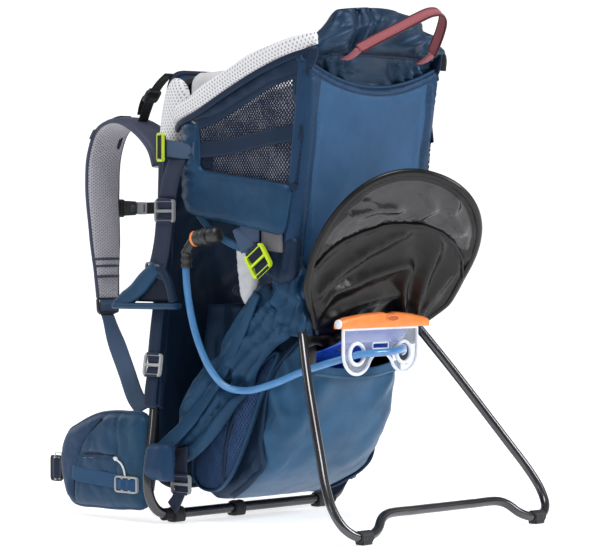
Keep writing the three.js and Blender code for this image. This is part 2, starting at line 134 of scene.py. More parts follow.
def creases(u, v, pitch, angle, seed):
    """Soft folds that run along angle (degrees), about pitch apart: 0 in the valleys, 1 on the crests."""
    turn = math.radians(angle)
    across = -u * math.sin(turn) + v * math.cos(turn)
    along = u * math.cos(turn) + v * math.sin(turn)
    drift = waves(along * 0.35, across, pitch * 3.0, seed, 2)
    bend = 2.4 * drift + 0.6 * np.sin(along / (pitch * 1.6))
    wave = 0.5 + 0.5 * np.sin(math.tau * across / pitch + bend)
    return wave**1.7 * (0.55 + 0.45 * waves(along * 0.4, across * 0.8, pitch * 4.0, seed + 1, 2))


# ---- curves ------------------------------------------------------------------------------
SPAN_STEPS = 18


def through(points, closed=False):
    """Centripetal Catmull-Rom curve through the points, densely sampled."""
    p = np.array(points, float)
    if closed:
        p = np.vstack([p[-1:], p, p[:2]])
    else:
        p = np.vstack([2 * p[:1] - p[1:2], p, 2 * p[-1:] - p[-2:-1]])
    out = []
    for i in range(1, len(p) - 2):
        p0, p1, p2, p3 = p[i - 1], p[i], p[i + 1], p[i + 2]
        t1 = max(np.linalg.norm(p1 - p0), 1e-6) ** 0.5
        t2 = t1 + max(np.linalg.norm(p2 - p1), 1e-6) ** 0.5
        t3 = t2 + max(np.linalg.norm(p3 - p2), 1e-6) ** 0.5
        t = np.linspace(t1, t2, SPAN_STEPS, endpoint=False)[:, None]
        a1 = (t1 - t) / t1 * p0 + t / t1 * p1
        a2 = (t2 - t) / (t2 - t1) * p1 + (t - t1) / (t2 - t1) * p2
        a3 = (t3 - t) / (t3 - t2) * p2 + (t - t2) / (t3 - t2) * p3
        b1 = (t2 - t) / t2 * a1 + t / t2 * a2
        b2 = (t3 - t) / (t3 - t1) * a2 + (t - t1) / (t3 - t1) * a3
        out.append((t2 - t) / (t2 - t1) * b1 + (t - t1) / (t2 - t1) * b2)
    out.append(p[-2:-1])
    return np.vstack(out)


def even(line, step):
    """The line again with even steps of about that length."""
    gaps = np.linalg.norm(np.diff(line, axis=0), axis=1)
    reach = np.concatenate([[0], np.cumsum(gaps)])
    count = max(2, int(round(reach[-1] / step)) + 1)
    want = np.linspace(0, reach[-1], count)
    return np.stack([np.interp(want, reach, line[:, k]) for k in range(line.shape[1])], axis=1)


def route(points, step=5.0):
    """Smooth open curve in even steps."""
    return even(through(points), step)


def loop(points, step=5.0):
    """Closed smooth outline, its last point left out."""
    return even(through(points, closed=True), step)[:-1]


def corners(points, radius=3.0, step=5.0):
    """Closed outline with straight sides and rounded corners, its last point left out."""
    p = np.array(points, float)
    line = []
    for i, here in enumerate(p):
        back, ahead = p[i - 1] - here, p[(i + 1) % len(p)] - here
        r_back = min(radius, 0.45 * np.linalg.norm(back))
        r_ahead = min(radius, 0.45 * np.linalg.norm(ahead))
        start = here + back / np.linalg.norm(back) * r_back
        end = here + ahead / np.linalg.norm(ahead) * r_ahead
        for t in np.linspace(0, 1, 5):
            line.append((1 - t) ** 2 * start + 2 * t * (1 - t) * here + t * t * end)
    line.append(line[0])
    return even(np.array(line), step)[:-1]


def distance(points, line):
    """Distance of 2-D points to a polyline."""
    a, b = line[:-1], line[1:]
    d = b - a
    length = np.maximum((d * d).sum(1), 1e-9)
    rel = points[:, None, :] - a[None]
    t = np.clip((rel * d).sum(2) / length, 0, 1)
    return np.linalg.norm(rel - t[..., None] * d, axis=2).min(1)


def inside(points, line):
    """Which 2-D points lie inside a closed outline."""
    x, y = points[:, 0][:, None], points[:, 1][:, None]
    a, b = line, np.roll(line, -1, axis=0)
    cross = (a[:, 1] > y) != (b[:, 1] > y)
    span = np.where(np.abs(b[:, 1] - a[:, 1]) < 1e-9, 1e-9, b[:, 1] - a[:, 1])
    at = (b[:, 0] - a[:, 0]) * (y - a[:, 1]) / span + a[:, 0]
    return (np.where(cross & (x < at), 1, 0).sum(1) % 2) == 1


# ---- meshes ------------------------------------------------------------------------------
def build(name, points, faces, materials, uv=None, face_slots=None, smooth=True):
    """Object from points in millimetres, its faces turned outward."""
    mesh = bpy.data.meshes.new(name)
    mesh.from_pydata(world(points).tolist(), [], [tuple(int(i) for i in f) for f in faces])
    for material in materials if isinstance(materials, (list, tuple)) else [materials]:
        mesh.materials.append(material)
    if uv is not None:
        layer = mesh.uv_layers.new(name="UVMap")
        corner = np.zeros(len(mesh.loops), np.int32)
        mesh.loops.foreach_get("vertex_index", corner)
        layer.data.foreach_set("uv", (np.array(uv, float)[corner] * MM).astype(np.float32).ravel())
    if face_slots is not None:
        mesh.polygons.foreach_set("material_index", np.array(face_slots, np.int32))
    made = bmesh.new()
    made.from_mesh(mesh)
    bmesh.ops.recalc_face_normals(made, faces=made.faces)
    made.to_mesh(mesh)
    made.free()
    mesh.polygons.foreach_set("use_smooth", [smooth] * len(mesh.polygons))
    piece = bpy.data.objects.new(name, mesh)
    bpy.context.scene.collection.objects.link(piece)
    return piece


def wear(piece, body, slot, *nodes):
    """Fixes a finished piece to its body and hides the CAD nodes it stands for; slot, the name of its
    finish, is not used.
    """
    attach(piece, body)
    if nodes:
        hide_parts(*nodes)
    return piece


def joined(name, pieces):
    """One object from several."""
    mesh = bmesh.new()
    mesh.loops.layers.uv.new("UVMap")
    materials = []
    for piece in pieces:
        start = len(mesh.faces)
        slots = []
        for material in piece.data.materials:
            if material not in materials:
                materials.append(material)
            slots.append(materials.index(material))
        mesh.from_mesh(piece.data)
        mesh.faces.ensure_lookup_table()
        for face in mesh.faces[start:]:
            face.material_index = slots[min(face.material_index, len(slots) - 1)]
    data = bpy.data.meshes.new(name)
    mesh.to_mesh(data)
    mesh.free()
    for piece in pieces:
        bpy.data.objects.remove(piece)
    for material in materials:
        data.materials.append(material)
    whole = bpy.data.objects.new(name, data)
    bpy.context.scene.collection.objects.link(whole)
    return whole


def circle(radius, sides=18):
    """Round section."""
    angle = np.linspace(0, math.tau, sides, endpoint=False)
    return np.stack([np.cos(angle), np.sin(angle)], axis=1) * radius


def flat(width, thickness, count=6):
    """Webbing section: flat faces and rounded selvedges."""
    half, t = width / 2, thickness / 2
    across = np.linspace(-half + t, half - t, count)
    top = [(a, t) for a in across] + [(half, 0)]
    return np.array(top + [(a, -t) for a in across[::-1]] + [(-half, 0)])


def crowned(width, thickness, edge=1.6, count=14):
    """Padded strap section: thin sewn edges and full faces. The first half is the upper face."""
    share = np.linspace(-1, 1, count)
    rise = edge + (thickness / 2 - edge) * (1 - share**2) ** 0.45
    top = np.stack([share * width / 2, rise], axis=1)
    return np.vstack([top, np.stack([share[::-1] * width / 2, -rise[::-1]], axis=1)])


def sweep(name, line, section, materials, across=None, closed=False, face_slot=None):
    """Solid swept along a line.

    section is an array of (across, normal) points, or gives one for a share of the way.
    across is the direction that the section's first axis keeps to, or gives it for a share.
    """
    line = np.array(line, float)
    count = len(line)
    if closed:
        tangent = np.roll(line, -1, axis=0) - np.roll(line, 1, axis=0)
    else:
        tangent = np.gradient(line, axis=0)
    tangent /= np.linalg.norm(tangent, axis=1)[:, None]
    hint = across(0.0) if callable(across) else across
    if hint is None:
        hint = np.cross(tangent[0], (0.31, 0.17, 0.93))
    gaps = np.linalg.norm(np.diff(line, axis=0), axis=1)
    reach = np.concatenate([[0], np.cumsum(gaps)])
    points, uv = [], []
    carried = np.array(hint, float)
    for i in range(count):
        share = i / max(count - 1, 1)
        if callable(across):
            carried = np.array(across(share), float)
        elif across is not None:
            carried = np.array(across, float)
        side = carried - tangent[i] * carried.dot(tangent[i])
        side /= np.linalg.norm(side)
        carried = side
        normal = np.cross(tangent[i], side)
        shape = section(share) if callable(section) else section
        points.append(line[i] + shape[:, :1] * side + shape[:, 1:] * normal)
        uv.append(np.stack([np.full(len(shape), reach[i]), shape[:, 0]], axis=1))
    k = len(points[0])
    faces, slots = [], []
    for i in range(count if closed else count - 1):
        j = (i + 1) % count
        for m in range(k):
            n = (m + 1) % k
            faces.append((i * k + m, i * k + n, j * k + n, j * k + m))
            slots.append(face_slot(m, k, i / count) if face_slot else 0)
    if not closed:
        faces.append(tuple(range(k)))
        faces.append(tuple(range((count - 1) * k, count * k)))
        slots += [0, 0]
    return build(name, np.vstack(points), faces, materials, np.vstack(uv), slots)


def tube(name, points, radius, material, step=5.0, sides=20):
    """Round tube along a smooth route."""
    return sweep(name, route(points, step), circle(radius, sides), material)


def triangulated(points, edges, output):
    """Flat triangles between the points, keeping to the edges."""
    made = delaunay_2d_cdt([Vector(p) for p in points], edges, [], output, 1e-5)
    uv = np.array([(p.x, p.y) for p in made[0]])
    return uv, np.array([f for f in made[2] if len(f) == 3])


def slab_faces(tris, count):
    """Faces of a closed slab: the triangles, the same ones behind, and the wall between them."""
    used = {}
    for tri in tris:
        for a, b in ((tri[0], tri[1]), (tri[1], tri[2]), (tri[2], tri[0])):
            key = (min(a, b), max(a, b))
            used[key] = None if key in used else (a, b)
    faces = [tuple(tri) for tri in tris] + [tuple(tri[::-1] + count) for tri in tris]
    rim = [pair for pair in used.values() if pair]
    return faces + [(b, a, a + count, b + count) for a, b in rim]


def ring_faces(i, around):
    """Quads between ring i and the next one, each of around points."""
    here, above = i * around, (i + 1) * around
    return [(here + k, here + (k + 1) % around, above + (k + 1) % around, above + k) for k in range(around)]


def puff(name, outline, lay, half, materials, seams=(), step=5.5, edge=1.5, rounding=14.0,
         relief=None, back=1.0, region=None, pinch=(2.2, 3.0)):
    """Padded panel: a closed outline in (u, v), filled and swollen on both faces.

    lay(u, v, h) gives points in space, h being the height over the middle surface.
    seams are open lines where both faces are drawn in by pinch (depth, width).
    relief(u, v, d) adds height to the front face, and region(u, v) picks its material.
    """
    outline = np.array(outline, float)
    low, high = outline.min(0), outline.max(0)
    rows = np.arange(low[1], high[1], step * 0.87)
    grid = np.array([
        (u + (i % 2) * step / 2, v)
        for i, v in enumerate(rows)
        for u in np.arange(low[0], high[0], step)
    ])
    ring = np.vstack([outline, outline[:1]])
    grid = grid[inside(grid, outline) & (distance(grid, ring) > step * 0.55)]
    points = [tuple(p) for p in outline]
    edges = [(i, (i + 1) % len(outline)) for i in range(len(outline))]
    for seam in seams:
        if len(grid):
            grid = grid[distance(grid, np.array(seam)) > step * 0.4]
        start = len(points)
        points += [tuple(p) for p in seam]
        edges += [(start + i, start + i + 1) for i in range(len(seam) - 1)]
    points += [tuple(p) for p in grid]
    uv, tris = triangulated(points, edges, 1)
    tris = tris[inside(uv[tris].mean(1), outline)]
    u, v = uv[:, 0], uv[:, 1]
    d = distance(uv, ring)
    t = np.clip(d / rounding, 0, 1)
    height = edge + (half(u, v, d) - edge if callable(half) else half - edge) * np.sqrt(1 - (1 - t) ** 2)
    if seams:
        near = np.min([distance(uv, np.array(seam)) for seam in seams], axis=0)
        height = height - np.minimum(height - 0.6, pinch[0]) * np.exp(-((near / pinch[1]) ** 2))
    front = height + (relief(u, v, d) if relief else 0.0)
    space = np.vstack([lay(u, v, front), lay(u, v, -height * back)])
    faces = slab_faces(tris, len(uv))
    slots = [0] * len(faces)
    if region:
        centres = uv[tris].mean(1)
        slots[: len(tris)] = region(centres[:, 0], centres[:, 1]).astype(int).tolist()
    return build(name, space, faces, materials, np.vstack([uv, uv]), slots)


def plate(name, outline, holes, lay, thickness, material, bevel=0.8):
    """Flat plastic plate with holes and softened edges."""
    loops = [np.array(outline, float)] + [np.array(h, float) for h in holes]
    points, edges = [], []
    for line in loops:
        start = len(points)
        points += [tuple(p) for p in line]
        edges += [(start + i, start + (i + 1) % len(line)) for i in range(len(line))]
    uv, tris = triangulated(points, edges, 0)
    middle = uv[tris].mean(1)
    keep = inside(middle, loops[0])
    for line in loops[1:]:
        keep &= ~inside(middle, line)
    u, v = uv[:, 0], uv[:, 1]
    h = np.full(len(uv), thickness / 2)
    piece = build(name, np.vstack([lay(u, v, h), lay(u, v, -h)]), slab_faces(tris[keep], len(uv)), material,
                  np.vstack([uv, uv]), smooth=False)
    soften(piece, bevel)
    return piece


def soften(piece, width):
    """Rounded edges on a hard piece."""
    bevel = piece.modifiers.new("edges", "BEVEL")
    bevel.width = width * MM
    bevel.segments = 2
    bevel.limit_method = "ANGLE"
    bevel.angle_limit = math.radians(38)
    return piece


# ---- planes ------------------------------------------------------------------------------
def side_plane(sign, x):
    """Lays (u, v) out as Y and Z on a plane across X; height grows away from the middle."""
    return lambda u, v, h: np.stack([sign * (x + h), u, v], axis=1)


def side_plane_at(x, y0=0.0):
    """Lays (u, v) out as Y and Z round a place on the X axis; height runs along X."""
    return lambda u, v, h: np.stack([x + h, y0 + u, v], axis=1)


def tilted(centre, right, up):
    """Lays (u, v) along two directions from a centre."""
    c, r, w = (np.array(p, float) for p in (centre, right, up))
    r /= np.linalg.norm(r)
    w -= r * w.dot(r)
    w /= np.linalg.norm(w)
    out = np.cross(r, w)
    return lambda u, v, h: c + u[:, None] * r + v[:, None] * w + h[:, None] * out


# ---- materials ---------------------------------------------------------------------------
def rgb(code):
    """Linear colour from an sRGB hex code."""
    parts = [int(code[i:i + 2], 16) / 255 for i in (1, 3, 5)]
    return [c / 12.92 if c <= 0.04045 else ((c + 0.055) / 1.055) ** 2.4 for c in parts] + [1.0]


class Look:
    """A Principled material with short ways to add procedural detail."""

    def __init__(self, name, color, roughness, **sockets):
        self.material = bpy.data.materials.new(name)
        self.material.use_nodes = True
        self.tree = self.material.node_tree
        self.shader = self.tree.nodes["Principled BSDF"]
        self.color = rgb(color)
        self.shader.inputs["Base Color"].default_value = self.color
        self.shader.inputs["Roughness"].default_value = roughness
        for key, value in sockets.items():
            self.shader.inputs[key.replace("_", " ")].default_value = value

    def add(self, kind, **values):
        """A new shader node with these settings."""
        made = self.tree.nodes.new("ShaderNode" + kind)
        for key, value in values.items():
            setattr(made, key, value)
        return made

    def put(self, source, target):
        self.tree.links.new(source, target)

    def math(self, operation, a, b=None, c=None):
        """A math node over sockets or plain numbers."""
        made = self.add("Math", operation=operation)
        for socket, value in zip(made.inputs, (a, b, c)):
            if isinstance(value, (int, float)):
                socket.default_value = value
            elif value is not None:
                self.put(value, socket)
        return made.outputs[0]

    def place(self):
        """The two coordinates that follow the piece's surface, in metres."""
        split = self.add("SeparateXYZ")
        self.put(self.add("UVMap", uv_map="UVMap").outputs[0], split.inputs[0])
        return split.outputs[0], split.outputs[1]

    def sine(self, value, period):
        """0 to 1 wave along a coordinate in metres, its period in millimetres."""
        turned = self.math("MULTIPLY", value, math.tau / (period * MM))
        return self.math("MULTIPLY_ADD", self.math("SINE", turned), 0.5, 0.5)

    def noise(self, scale, detail=3.0, roughness=0.55):
        """Noise over the object's own space."""
        made = self.add("TexNoise")
        made.inputs["Scale"].default_value = scale
        made.inputs["Detail"].default_value = detail
        made.inputs["Roughness"].default_value = roughness
        self.put(self.add("TexCoord").outputs["Object"], made.inputs["Vector"])
        return made.outputs["Fac"]

    def tint(self, factor, other, low, high):
        """Base colour that goes from its own colour to another as factor goes from low to high."""
        band = self.add("ValToRGB")
        band.color_ramp.elements[0].position = low
        band.color_ramp.elements[1].position = high
        band.color_ramp.elements[0].color = self.color
        band.color_ramp.elements[1].color = rgb(other)
        self.put(factor, band.inputs[0])
        self.put(band.outputs[0], self.shader.inputs["Base Color"])

    def relief(self, heights):
        """Stacked bumps: (height socket, distance in mm, strength)."""
        normal = None
        for height, depth, strength in heights:
            bump = self.add("Bump")
            bump.inputs["Distance"].default_value = depth * MM
            bump.inputs["Strength"].default_value = strength
            self.put(height, bump.inputs["Height"])
            if normal is not None:
                self.put(normal, bump.inputs["Normal"])
            normal = bump.outputs[0]
        self.put(normal, self.shader.inputs["Normal"])

    def rough(self, factor, low, high):
        """Roughness that goes from low to high with factor."""
        spread = self.add("MapRange")
        spread.inputs["To Min"].default_value = low
        spread.inputs["To Max"].default_value = high
        self.put(factor, spread.inputs["Value"])
        self.put(spread.outputs[0], self.shader.inputs["Roughness"])


def gloss_tint(color, share):
    """Colour of a fabric's gloss: its own hue pulled towards white by share."""
    own = rgb(color)[:3]
    return [mix(c / max(own), 1.0, share) for c in own] + [1.0]


def nylon(name, color, shade, sheen=0.04, roughness=0.5):
    """Smooth woven fabric with a fine ripstop grid and faint wrinkles."""
    look = Look(name, color, roughness, Sheen_Weight=sheen, Sheen_Roughness=0.4, Specular_IOR_Level=0.42,
                Specular_Tint=gloss_tint(color, 0.3), Sheen_Tint=gloss_tint(color, 0.3))
    u, v = look.place()
    weave = look.math("MULTIPLY", look.sine(u, 1.1), look.sine(v, 1.1))
    wrinkle = look.noise(42.0, 4.0, 0.6)
    look.tint(look.noise(16.0, 5.0), shade, 0.32, 0.72)
    look.rough(wrinkle, roughness - 0.12, roughness + 0.14)
    look.relief([(wrinkle, 1.6, 0.35), (weave, 0.16, 0.35)])
    return look.material


def webbing(name, color, shade, rib=2.0):
    """Woven strap: chevron ribs across and slightly darker selvedges."""
    look = Look(name, color, 0.72, Sheen_Weight=0.1, Sheen_Roughness=0.35, Specular_IOR_Level=0.3,
                Specular_Tint=gloss_tint(color, 0.5))
    u, v = look.place()
    slant = look.math("ADD", u, look.math("MULTIPLY", look.math("ABSOLUTE", v), 0.8))
    ribs = look.sine(slant, rib)
    fine = look.sine(v, 1.2)
    speck = look.noise(900.0, 2.0)
    look.tint(look.math("MULTIPLY", ribs, speck), shade, 0.1, 0.75)
    look.relief([(look.math("MULTIPLY_ADD", fine, 0.4, ribs), 0.35, 0.55)])
    return look.material


def spacer_mesh(name, color, hole, pitch=6.2):
    """Padded spacer mesh: staggered diamond holes in a knitted face."""
    look = Look(name, color, 0.85, Sheen_Weight=0.12, Sheen_Roughness=0.5, Specular_IOR_Level=0.3)
    u, v = look.place()
    a = look.sine(look.math("ADD", u, look.math("MULTIPLY", v, 0.62)), pitch * 0.86)
    b = look.sine(look.math("SUBTRACT", u, look.math("MULTIPLY", v, 0.62)), pitch * 0.86)
    holes = look.math("MULTIPLY", a, b)
    knit = look.math("MULTIPLY", look.sine(u, 0.9), look.sine(v, 1.3))
    look.tint(holes, hole, 0.42, 0.72)
    look.relief([(look.math("SUBTRACT", 1.0, holes), 1.1, 0.7), (knit, 0.2, 0.3)])
    return look.material


def net(name, color, thread, pitch, cover):
    """See-through net: knitted threads round staggered holes."""
    look = Look(name, color, 0.8, Specular_IOR_Level=0.25)
    u, v = look.place()
    a = look.sine(look.math("ADD", u, look.math("MULTIPLY", v, 0.7)), pitch)
    b = look.sine(look.math("SUBTRACT", u, look.math("MULTIPLY", v, 0.7)), pitch)
    holes = look.math("MULTIPLY", a, b)
    look.tint(look.noise(120.0), thread, 0.3, 0.7)
    alpha = look.math("LESS_THAN", holes, cover)
    look.put(alpha, look.shader.inputs["Alpha"])
    look.relief([(look.math("SUBTRACT", 1.0, holes), 0.6, 0.5)])
    return look.material


def moulded(name, color, shade, roughness=0.42, grain=0.12):
    """Moulded plastic with a fine grain, paler where it is rubbed."""
    look = Look(name, color, roughness, Coat_Weight=0.12, Coat_Roughness=0.3)
    fine = look.noise(1400.0, 2.0)
    look.tint(look.noise(60.0, 4.0), shade, 0.35, 0.8)
    look.rough(look.noise(220.0, 3.0), roughness - 0.08, roughness + 0.12)
    look.relief([(fine, grain, 0.3)])
    return look.material


def anodised(name, color, shade, roughness=0.3):
    """Satin metal tube with drawn streaks and faint smudges."""
    look = Look(name, color, roughness, Metallic=0.9, Coat_Weight=0.25, Coat_Roughness=0.18)
    look.tint(look.noise(9.0, 6.0), shade, 0.3, 0.75)
    look.rough(look.noise(35.0, 5.0), roughness - 0.07, roughness + 0.12)
    look.relief([(look.noise(700.0, 2.0), 0.05, 0.15)])
    return look.material


def coated(name, color, shade, roughness, coat=0.2):
    """Coated lining: semi-gloss with fine crackle."""
    look = Look(name, color, roughness, Coat_Weight=coat, Coat_Roughness=0.2, Specular_IOR_Level=0.35)
    soft = look.noise(26.0, 5.0, 0.62)
    look.tint(soft, shade, 0.38, 0.7)
    look.rough(look.noise(70.0, 4.0), roughness - 0.08, roughness + 0.12)
    look.relief([(soft, 2.2, 0.4), (look.noise(1300.0, 2.0), 0.08, 0.3)])
    return look.material


def clear(name, color, shade, roughness, see_through, scale=60.0, alpha=1.0):
    """Translucent plastic film, tube or plate."""
    look = Look(name, color, roughness, Transmission_Weight=see_through, IOR=1.4, Coat_Weight=0.4,
                Coat_Roughness=0.1, Alpha=alpha)
    look.tint(look.noise(scale, 4.0), shade, 0.3, 0.75)
    look.relief([(look.noise(scale * 1.5, 3.0), 0.5, 0.25)])
    return look.material


TUBE = anodised("tube_metal", "#5b5b5e", "#434346", 0.2)
STEEL = anodised("pin_steel", "#a4a6aa", "#84868a", 0.25)
RUBBER = moulded("rubber", "#202124", "#2c2d30", 0.75, 0.3)
BLACK = moulded("black_plastic", "#18191b", "#26282b")
GREY = moulded("grey_plastic", "#85888b", "#73767a", 0.4)
PALE_GREY = moulded("pale_grey_plastic", "#a9abac", "#97999b", 0.4)
LIME = moulded("lime_plastic", "#c8e41a", "#b6d010", 0.35)
ORANGE = moulded("orange_plastic", "#f68c40", "#ec7a30", 0.3)
WHITE_CAP = moulded("white_plastic", "#e8eaee", "#d5d8de", 0.35)
BLUE = nylon("blue_fabric", "#30557a", "#264768")
BLUE_SATIN = nylon("blue_satin", "#315777", "#1f3f5b", sheen=0.08, roughness=0.38)
DEEP_BLUE = nylon("deep_blue_fabric", "#1e3e5a", "#162f48", roughness=0.44)
NAVY = nylon("navy_fabric", "#152438", "#0f1b2c", roughness=0.5)
INK = nylon("ink_fabric", "#111723", "#0b1018", roughness=0.58)
NIGHT_BLUE = nylon("night_blue_fabric", "#182b41", "#101f33", roughness=0.46, sheen=0.06)
DARK_TEAL = nylon("dark_teal_fabric", "#1d4059", "#16324a")
TAUPE = nylon("taupe_fabric", "#6d6c72", "#5f5e64", roughness=0.7)
PALE = nylon("pale_fabric", "#c9c8ca", "#bbbabd", roughness=0.7, sheen=0.4)
GREY_MESH = spacer_mesh("grey_spacer_mesh", "#dfdfe2", "#8f9096")
STRAP_MESH = spacer_mesh("strap_spacer_mesh", "#b4b2ba", "#77757f", pitch=5.2)
NAVY_MESH = spacer_mesh("navy_spacer_mesh", "#202d47", "#0f1524", pitch=4.2)
SIDE_NET = net("side_net", "#1d2c47", "#141f36", pitch=4.6, cover=0.15)
POCKET_NET = net("pocket_net", "#2a4268", "#38547f", pitch=5.2, cover=0.26)
SLATE = webbing("slate_webbing", "#44566f", "#374860")
DARK_SLATE = webbing("dark_slate_webbing", "#272f42", "#1c2332")
STRAP_FACE = nylon("slate_fabric", "#484c5e", "#3a3e4f", roughness=0.62)
BLACK_WEB = webbing("black_webbing", "#1c1d20", "#111214")
BLUE_WEB = webbing("blue_webbing", "#284c70", "#1e3c5b")
MAROON = webbing("maroon_webbing", "#a05c63", "#83484f", 1.6)
MAROON_EDGE = webbing("maroon_binding", "#4a2429", "#3a1b20", 1.2)
LINING = coated("black_lining", "#0f0f11", "#070708", 0.34, 0.06)
GLOSS_BAND = coated("gloss_lining", "#29292e", "#1b1b1f", 0.2, 0.6)
FILM = clear("blue_film", "#2458d8", "#1a45b8", 0.22, 0.25)
PLATE = clear("clear_plate", "#dfe8f4", "#cdd9ea", 0.2, 0.35, alpha=0.24)
TUBE_BLUE = clear("hose_blue", "#66a6de", "#4788c6", 0.16, 0.35, 30.0)
THREAD = moulded("light_thread", "#9fb2c8", "#8ba0b8", 0.7)
WHITE_CORD = webbing("white_cord", "#e6e8ea", "#cfd2d6", 1.5)
# White padding; on the inner wings behind the net it also serves as painted light.
WHITE_PAD = nylon("white_padding", "#d8dade", "#c3c5ca", roughness=0.7, sheen=0.4)
INK_WEB = webbing("ink_webbing", "#1d2436", "#141a28")
# Dark blue cloth; on the rear pocket's side strips its darkness is painted shade.
DARK_BLUE = nylon("dark_blue_fabric", "#1c3855", "#152d47")
HEM_BLUE = nylon("hem_fabric", "#1f3b59", "#182f49")
CAP_BLUE = nylon("cap_fabric", "#1a3046", "#122335", roughness=0.4)
DARK_ORANGE = moulded("dark_orange_plastic", "#b45412", "#9a450c", 0.4)
PLATE_EDGE = clear("clear_plate_edge", "#f2f5fa", "#e6ecf5", 0.3, 0.1, alpha=0.92)


# ---- camera ------------------------------------------------------------------------------
def set_camera():
    """Long lens at the left and rear, a little above the middle of the pack."""
    camera = bpy.data.cameras.new("camera")
    camera.sensor_width = 36.0
    camera.lens = CAMERA["lens"]
    camera.clip_start = 0.1
    camera.clip_end = 50.0
    stand = bpy.data.objects.new("camera", camera)
    stand.location = CAMERA["place"]
    stand.rotation_euler = (math.radians(CAMERA["tilt"]), 0, math.radians(CAMERA["heading"]))
    bpy.context.scene.collection.objects.link(stand)
    bpy.context.scene.camera = stand


# ---- hose --------------------------------------------------------------------------------
def hose():
    """Drinking hose on its real route, with the collar and bite valve at its end."""
    line = route(HOSE_ROUTE, 4.0)
    bore = sweep("hose_tube", line, circle(HOSE_R, 20), TUBE_BLUE)
    wear(bore, "pack", "hose_blue", "hose")
    tip = np.array(HOSE_ROUTE[-1], float)
    valve_axis = np.array((0.07, -0.99, 0.14))
    valve_axis /= np.linalg.norm(valve_axis)
    collar_line = even(np.array([(-160, -35, 350), (-160, -35, 372), tip + (0, -1, 1)], float), 2.5)

    def collar_section(share):
        return circle(7.2 + 0.9 * math.sin(share * 30) * (share < 0.7), 20)

    collar = sweep("hose_connector", collar_line, collar_section, BLACK)
    profile = [(-6, 7.5), (-3, 10.5), (2, 11.5), (8, 11.8), (12, 9.5), (16, 9), (22, 11), (30, 11.8),
               (35, 11), (38.5, 8.5), (40, 4)]
    centre = np.array((-156.5, -54, 391), float)
    offsets = np.array([p[0] for p in profile])
    radii = np.array([p[1] for p in profile])
    fine = np.linspace(offsets[0], offsets[-1], 40)
    axis_line = centre + np.outer(fine, valve_axis)

    def valve_section(share):
        return circle(np.interp(share, np.linspace(0, 1, 40), np.interp(fine, offsets, radii)), 28)

    valve = sweep("bite_valve_body", axis_line, valve_section, BLACK)
    ring = sweep("valve_orange_ring", centre + np.outer(np.linspace(-8, -3, 8), valve_axis),
                 lambda share: circle(9.3 + 1.6 * math.sin(math.pi * share), 28), ORANGE)
    turn = sweep("valve_lever", centre + np.outer(np.linspace(12, 20, 9), valve_axis),
                 lambda share: circle(12.6 + 0.7 * math.sin(math.pi * share), 14), BLACK)
    wear(collar, "pack", "black_plastic")
    wear(valve, "pack", "black_plastic", "bite_valve")
    wear(ring, "pack", "orange_plastic")
    wear(turn, "pack", "black_plastic")
    path = world(line)


# ---- hard parts --------------------------------------------------------------------------
def mirrored(points):
    """Right half of a route, from the middle outward, with its mirror image before it."""
    right = [tuple(p) for p in points]
    left = [(-p[0], *p[1:]) for p in reversed(right)]
    return left + right


def frame_tubes():
    """Main hoop with the base bar, rear hoop behind the child, and the sleeve over the top joint."""
    main = [
        (60, 0, 11.5), (130, 0, 11.5), (160, 0, 11.7), (181, 0.5, 18), (194, 2, 36), (196, 4, 66),
        (181, 10, 130), (160, 20, 250), (132, 30, 430), (117, 39, 520), (104, 45, 575),
        (80, 49, 604), (40, 50, 612), (5, 50, 612),
    ]
    wear(tube("main_frame_tube", mirrored(main), FRAME_R, TUBE, 5.0, 24), "pack", "tube", "main_frame")
    rear = [
        (40, -214, 561), (74, -214, 559), (98, -212, 546), (107, -209, 520), (111, -199, 440),
        (112, -190, 380), (112, -187, 328),
    ]
    wear(tube("rear_frame_tube", mirrored(rear), 6.0, TUBE, 6.0, 20), "pack", "tube", "rear_frame")
    sleeve = sweep("frame_joint_sleeve", route([(-26, 50, 612), (0, 50, 612), (26, 50, 612)], 3.0),
                   lambda s: circle(8.2 if 0.1 < s < 0.9 else 7.4, 24), BLACK)
    wear(sleeve, "pack", "black_plastic")


def leaned(x, r):
    """Point of the open kickstand, r away from the pivot axis."""
    return (x, PIVOT[1] - r * math.sin(STAND_LEAN), PIVOT[2] - r * math.cos(STAND_LEAN))


def kickstand():
    """Folding hoop with an eye at each pivot and a foot under each bend."""
    half = [
        (0, 315), (60, 315), (112, 316), (128, 322), (144, 336), (160, 343), (176, 344.5), (192, 341.5),
        (206, 328), (211, 304), (206, 274), (190, 228), (150, 118), (128, 64), (117, 38), (111, 20),
        (110, 4),
    ]
    left = [(-x, r) for x, r in reversed(half[1:])]
    line = route([leaned(x, r) for x, r in left + half], 5.0)
    parts = [sweep("stand_hoop", line, circle(STAND_R, 24), TUBE)]
    for name, sign in SIDES:
        centre = np.array(leaned(sign * 110, 0))
        eye = sweep("stand_eye_" + name, centre + np.outer(np.linspace(-6, 6, 7), (1, 0, 0)),
                    lambda s: circle(9.0 - 0.8 * (s in (0.0, 1.0)), 28), STEEL)
        parts.append(eye)
    wear(joined("kickstand_tube", parts), "kickstand_hoop", "tube", "kickstand")
    for name, sign in SIDES:
        foot_y, foot_z = leaned(0, 344.5)[1:]
        axle = np.array([(sign * 176 + x, foot_y, foot_z) for x in np.linspace(-10, 10, 15)])
        grip = sweep("stand_grip", axle,
                     lambda s: circle(8.3 + 0.5 * math.cos(s * math.tau * 3), 28), RUBBER)
        pad = plate("stand_pad", corners([(-8, 0.2), (8, 0.2), (6.5, 8), (-6.5, 8)], 2.5, 1.5), [],
                    side_plane_at(sign * 176, foot_y), 16, RUBBER, 1.0)
        wear(joined("kickstand_foot_pad_" + name, [grip, pad]), "kickstand_hoop", "rubber",
             "kickstand_foot_" + name)


